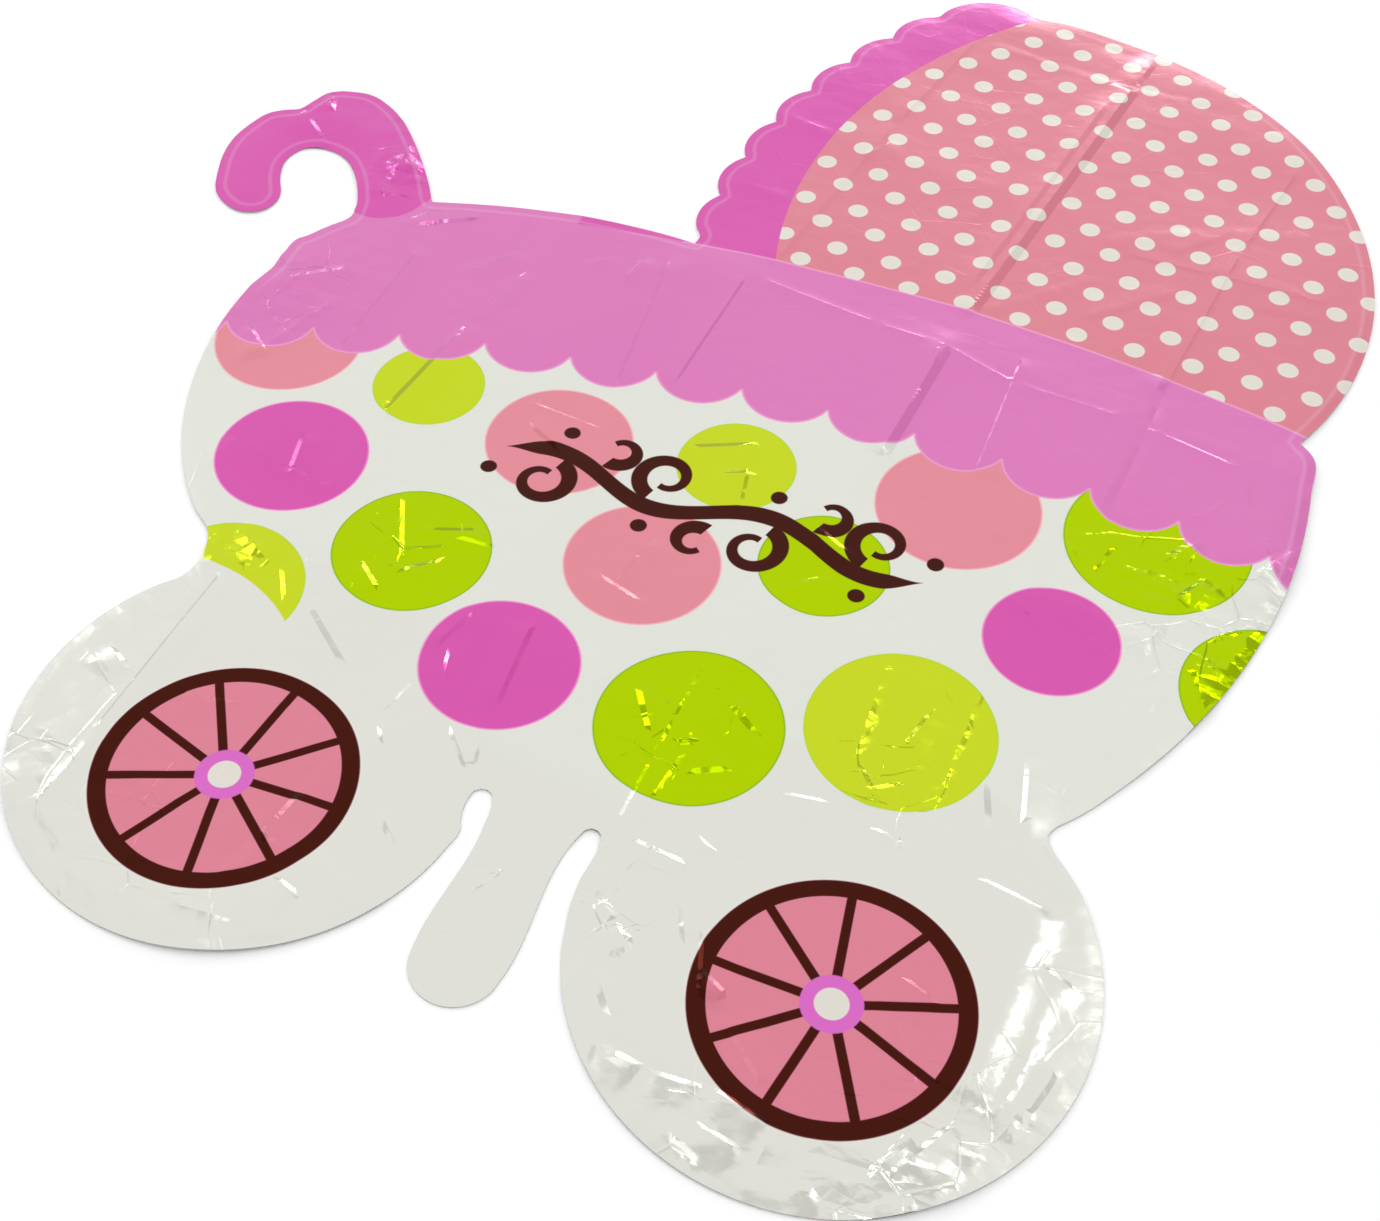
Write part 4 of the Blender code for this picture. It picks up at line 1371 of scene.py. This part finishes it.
    def material(self, crinkle: bpy.types.NodeTree) -> bpy.types.Material:
        """The printed film's material.

        Args:
            crinkle: The foil's fine crinkle.

        Returns:
            The material.
        """
        made = bpy.data.materials.new("printed_foil")
        made.use_nodes = True
        graph = Graph(made.node_tree)
        surface = made.node_tree.nodes["Principled BSDF"]
        place = print_place(graph)
        under = self.body(graph, place)
        under = self.lay_spots(graph, place, under)
        under = self.lay_carriage(graph, place, under)
        under = self.lay_wheels(graph, place, under)
        under = self.lay_ornament(graph, place, under)
        under = self.seal_line(graph, place, under)
        for label, value in zip(("Base Color", "Metallic", "Roughness", "Coat Weight"), under):
            graph.feed(surface.inputs[label], value)
        surface.inputs["Coat Roughness"].default_value = self.coat_roughness
        bump_crinkle(graph, surface, crinkle, place)
        return made


def print_place(graph: Graph) -> Socket:
    """Places on the print, read from where the film lies, with no height.

    Args:
        graph: The material's graph.

    Returns:
        The places.
    """
    here = graph.add("ShaderNodeTexCoord").outputs["Object"]
    shift = (-PRINT_ORIGIN[0], -PRINT_ORIGIN[1], 0.0)
    mapping = graph.add("ShaderNodeMapping", {"Vector": here, "Location": shift, "Scale": (1.0, 1.0, 0.0)})
    return mapping.outputs[0]


def bump_crinkle(graph: Graph, surface: bpy.types.Node, crinkle: bpy.types.NodeTree,
                 place: Socket) -> None:
    """Bumps a surface with the fine crinkle, more where the film is crumpled.

    Args:
        graph: The material's graph.
        surface: Its Principled BSDF.
        crinkle: The crinkle's node group.
        place: Places on the print.
    """
    crumple = graph.add("ShaderNodeAttribute", attribute_name="crumple").outputs["Fac"]
    height = graph.use(crinkle, Place=place, Amount=crumple).outputs["Height"]
    bump = graph.add("ShaderNodeBump", {"Height": height, "Strength": 1.0, "Distance": 1.0})
    graph.feed(surface.inputs["Normal"], bump.outputs[0])


@dataclass
class PlainFoil:
    """The unprinted silver foil of the back film."""
    colour: tuple = srgb(226, 227, 224)
    dull_colour: tuple = srgb(214, 216, 214)
    metallic: float = 0.92
    roughness: float = 0.20
    dull_roughness: float = 0.30
    haze_scale: float = 14.0

    def material(self, crinkle: bpy.types.NodeTree) -> bpy.types.Material:
        """The back film's material.

        Args:
            crinkle: The foil's fine crinkle.

        Returns:
            The material.
        """
        made = bpy.data.materials.new("plain_silver_foil")
        made.use_nodes = True
        graph = Graph(made.node_tree)
        surface = made.node_tree.nodes["Principled BSDF"]
        place = print_place(graph)
        haze = graph.add("ShaderNodeTexNoise", {"Vector": place, "Scale": self.haze_scale, "Detail": 3.0})
        haze = haze.outputs[0]
        graph.feed(surface.inputs["Base Color"],
                   graph.colour(graph.ramp(haze, 0.35, 0.65), self.colour, self.dull_colour))
        graph.feed(surface.inputs["Roughness"],
                   graph.ramp(haze, 0.3, 0.7, self.roughness, self.dull_roughness))
        surface.inputs["Metallic"].default_value = self.metallic
        bump_crinkle(graph, surface, crinkle, place)
        return made


@dataclass
class Balloon:
    """The balloon's two films.

    Args:
        outline: Its edge.
        relief: How the films lie.
        thickness: The thickness of each film.
        gap: What is left between the films at the seal.
        cell: The mesh's spacing away from the edge.
        rows: The depths of the mesh's rows along the edge.
        clear: How far the grid keeps from the last row and from the creases, in cells.
        crease_gap: How far the points of the creases keep from one another, in cells.
        smooth: The turn up to which the surface is shaded smooth.
    """
    outline: Outline
    relief: Relief
    thickness: float = 0.00025
    gap: float = 0.00010
    cell: float = 0.0030
    rows: tuple = (0.0020, 0.0045, 0.0070, 0.0096)
    clear: float = 0.6
    crease_gap: float = 0.28
    smooth: float = math.radians(13.0)

    def flat_mesh(self) -> tuple[np.ndarray, list]:
        """The flat film, with even triangles and rows along the edge.

        Returns:
            The places of its points, and its faces.
        """
        edge = self.outline.points
        places = [edge] + [self.outline.row(depth) for depth in self.rows]
        depth = self.rows[-1] + self.clear * self.cell
        grid = self.outline.grid(self.cell, self.relief.tilt, depth)
        lines = np.concatenate([crease.rows(self.cell) for crease in self.relief.creases])
        lines = lines[self.outline.holds_far(lines, depth)]
        lines = apart(lines, lines[:0], self.crease_gap * self.cell)
        places += [lines, apart(grid, lines, self.clear * self.cell)]
        count = len(edge)
        border = [(k, (k + 1) % count) for k in range(count)]
        points, _, faces, *_ = delaunay_2d_cdt([Vector(p) for p in np.concatenate(places)], border, [], 0,
                                               1e-7, False)
        points, faces = np.array([point[:] for point in points]), np.array(faces)
        bridging = (faces < count).all(axis=1)
        keep = ~bridging
        keep[bridging] = self.outline.holds(points[faces[bridging]].mean(axis=1))
        return points, faces[keep].tolist()

    def film(self, name: str, places: np.ndarray, faces: list, heights: np.ndarray, inside: np.ndarray,
             crumple: np.ndarray) -> bpy.types.Object:
        """One film, closed, with its thickness below the heights.

        Args:
            name: The piece's name.
            places: Its points on the print.
            faces: Its faces.
            heights: The height of its upper side at each point.
            inside: How far inside the edge each point is.
            crumple: How crumpled the film is at each point.

        Returns:
            The finished piece.
        """
        mesh = bpy.data.meshes.new(name)
        where = np.column_stack([places + PRINT_ORIGIN, heights])
        mesh.from_pydata(where.tolist(), [], faces)
        for label, values in (("inside", inside), ("crumple", crumple)):
            layer = mesh.attributes.new(label, "FLOAT", "POINT")
            layer.data.foreach_set("value", values.astype(np.float32))
        piece = bpy.data.objects.new(name, mesh)
        bpy.context.collection.objects.link(piece)
        bpy.ops.object.select_all(action="DESELECT")
        piece.select_set(True)
        bpy.context.view_layer.objects.active = piece
        wall = piece.modifiers.new("wall", "SOLIDIFY")
        wall.thickness = self.thickness
        wall.offset = -1.0
        bpy.ops.object.modifier_apply(modifier=wall.name)
        bpy.ops.object.shade_smooth_by_angle(angle=self.smooth)
        return piece

    def build(self) -> tuple[bpy.types.Object, bpy.types.Object]:
        """Builds both films and sets them on the frame.

        Returns:
            The front film and the back film.
        """
        places, faces = self.flat_mesh()
        inside, along = self.outline.nearest(places)
        crumple = self.relief.crumple(places)
        lying = self.relief.resting(places)
        back = lying + self.relief.back(places, inside) + self.thickness
        front = back + self.gap + self.thickness + self.relief.front(places, inside, along)
        pieces = []
        for name, node, heights, slot in (("printed_front", "front_film", front, "printed_film"),
                                          ("silver_back", "back_film", back, "plain_foil")):
            piece = self.film(name, places, faces, heights, inside, crumple)
            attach(piece, "root")
            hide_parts(node)
            LOG.info("%s: %d faces, %.1f mm high", name, len(piece.data.polygons), heights.max() * 1000)
            pieces.append(piece)
        return pieces[0], pieces[1]

    def dress(self, front: bpy.types.Object, back: bpy.types.Object) -> None:
        """Gives the films their materials.

        Args:
            front: The front film.
            back: The back film.
        """
        crinkle = crinkle_group()
        front.data.materials.append(Print().material(crinkle))
        back.data.materials.append(PlainFoil().material(crinkle))


@dataclass(frozen=True)
class Softbox:
    """One soft light: where it stands, its two sides and its power."""
    name: str
    place: tuple[float, float, float]
    sides: tuple[float, float]
    power: float

    def build(self, target: Vector) -> None:
        """Sets the light, turned to the target.

        Args:
            target: The place that the light faces.
        """
        light = bpy.data.lights.new(self.name, "AREA")
        light.shape = "RECTANGLE"
        light.size, light.size_y = self.sides
        light.energy = self.power
        holder = bpy.data.objects.new(self.name, light)
        holder.location = self.place
        holder.rotation_euler = (target - Vector(self.place)).to_track_quat("-Z", "Y").to_euler()
        bpy.context.collection.objects.link(holder)


@dataclass
class Studio:
    """The pale table, the lights and the camera."""
    table_side: float = 14.0
    table_drop: float = 0.0002
    table_finish: dict = field(default_factory=lambda: {
        "Base Color": (0.97, 0.97, 0.97, 1.0), "Roughness": 0.9, "Specular IOR Level": 0.1})
    room: float = 0.70
    lights: tuple = (Softbox("softbox_back", (-0.95, 2.30, 3.06), (4.2, 4.2), 23.5),
                     Softbox("softbox_right", (2.45, 1.20, 3.20), (2.4, 2.4), 10.0),
                     Softbox("softbox_top", (-0.20, -0.62, 3.00), (2.6, 0.8), 7.0),
                     Softbox("softbox_front", (1.00, -2.60, 3.00), (2.0, 2.0), 7.0),
                     Softbox("strip_left", (-3.40, 1.20, 1.90), (1.2, 2.2), 20.0),
                     Softbox("strip_far", (-0.30, 4.20, 1.40), (2.4, 0.3), 16.0),
                     Softbox("lamp_left", (-3.05, 1.45, 2.20), (0.20, 0.20), 5.0),
                     Softbox("lamp_far", (-0.60, 4.10, 1.50), (0.20, 0.20), 3.5),
                     Softbox("lamp_low", (-2.60, 3.10, 0.85), (0.35, 0.35), 3.0),
                     Softbox("lamp_top", (-0.10, -0.62, 3.00), (0.20, 0.20), 3.5),
                     Softbox("lamp_right", (0.94, 1.50, 3.00), (0.16, 0.60), 2.4))
    camera_foot: Place = (0.2295, -0.3797)
    camera_height: float = 0.7025
    heading: float = math.radians(22.07)
    tilt: float = math.radians(49.94)
    roll: float = math.radians(1.36)
    lens: float = 51.207
    sensor: float = 36.0

    def build(self) -> None:
        """Sets the table, the room's light, the soft lights and the camera."""
        self.table()
        self.room_light()
        for light in self.lights:
            light.build(Vector((0.0, 0.0, 0.0)))
        self.camera()
        bpy.context.scene.view_settings.view_transform = "Standard"

    def table(self) -> None:
        """The plain pale table top."""
        bpy.ops.object.select_all(action="DESELECT")
        bpy.ops.mesh.primitive_plane_add(size=self.table_side, location=(0.0, 0.0, -self.table_drop))
        table = bpy.context.active_object
        table.name = "table_top"
        made = bpy.data.materials.new("pale_table")
        made.use_nodes = True
        surface = made.node_tree.nodes["Principled BSDF"]
        for label, value in self.table_finish.items():
            surface.inputs[label].default_value = value
        table.data.materials.append(made)

    def room_light(self) -> None:
        """An even pale room round the table."""
        world = bpy.data.worlds.new("pale_room")
        world.use_nodes = True
        background = world.node_tree.nodes["Background"]
        background.inputs["Color"].default_value = (1.0, 1.0, 1.0, 1.0)
        background.inputs["Strength"].default_value = self.room
        bpy.context.scene.world = world

    def camera(self) -> None:
        """The camera, at the photograph's place and angle."""
        forward = Vector((-math.sin(self.heading) * math.cos(self.tilt),
                          math.cos(self.heading) * math.cos(self.tilt), -math.sin(self.tilt)))
        level = Vector((math.cos(self.heading), math.sin(self.heading), 0.0))
        right = Matrix.Rotation(-self.roll, 3, forward) @ level
        up = right.cross(forward)
        lens = bpy.data.cameras.new("photograph_view")
        lens.sensor_fit = "HORIZONTAL"
        lens.sensor_width = self.sensor
        lens.lens = self.lens
        lens.clip_start = 0.01
        holder = bpy.data.objects.new("photograph_view", lens)
        place = (self.camera_foot[0] + PRINT_ORIGIN[0], self.camera_foot[1] + PRINT_ORIGIN[1],
                 self.camera_height)
        turn = Matrix((right, up, -forward)).transposed().to_4x4()
        holder.matrix_world = Matrix.Translation(place) @ turn
        bpy.context.collection.objects.link(holder)
        bpy.context.scene.camera = holder


def main() -> None:
    """Builds the balloon and the studio."""
    logging.basicConfig(level=logging.INFO, format="%(message)s")
    balloon = Balloon(Outline("front_film"), Relief())
    front, back = balloon.build()
    balloon.dress(front, back)
    Studio().build()


if __name__ == "__main__":
    main()
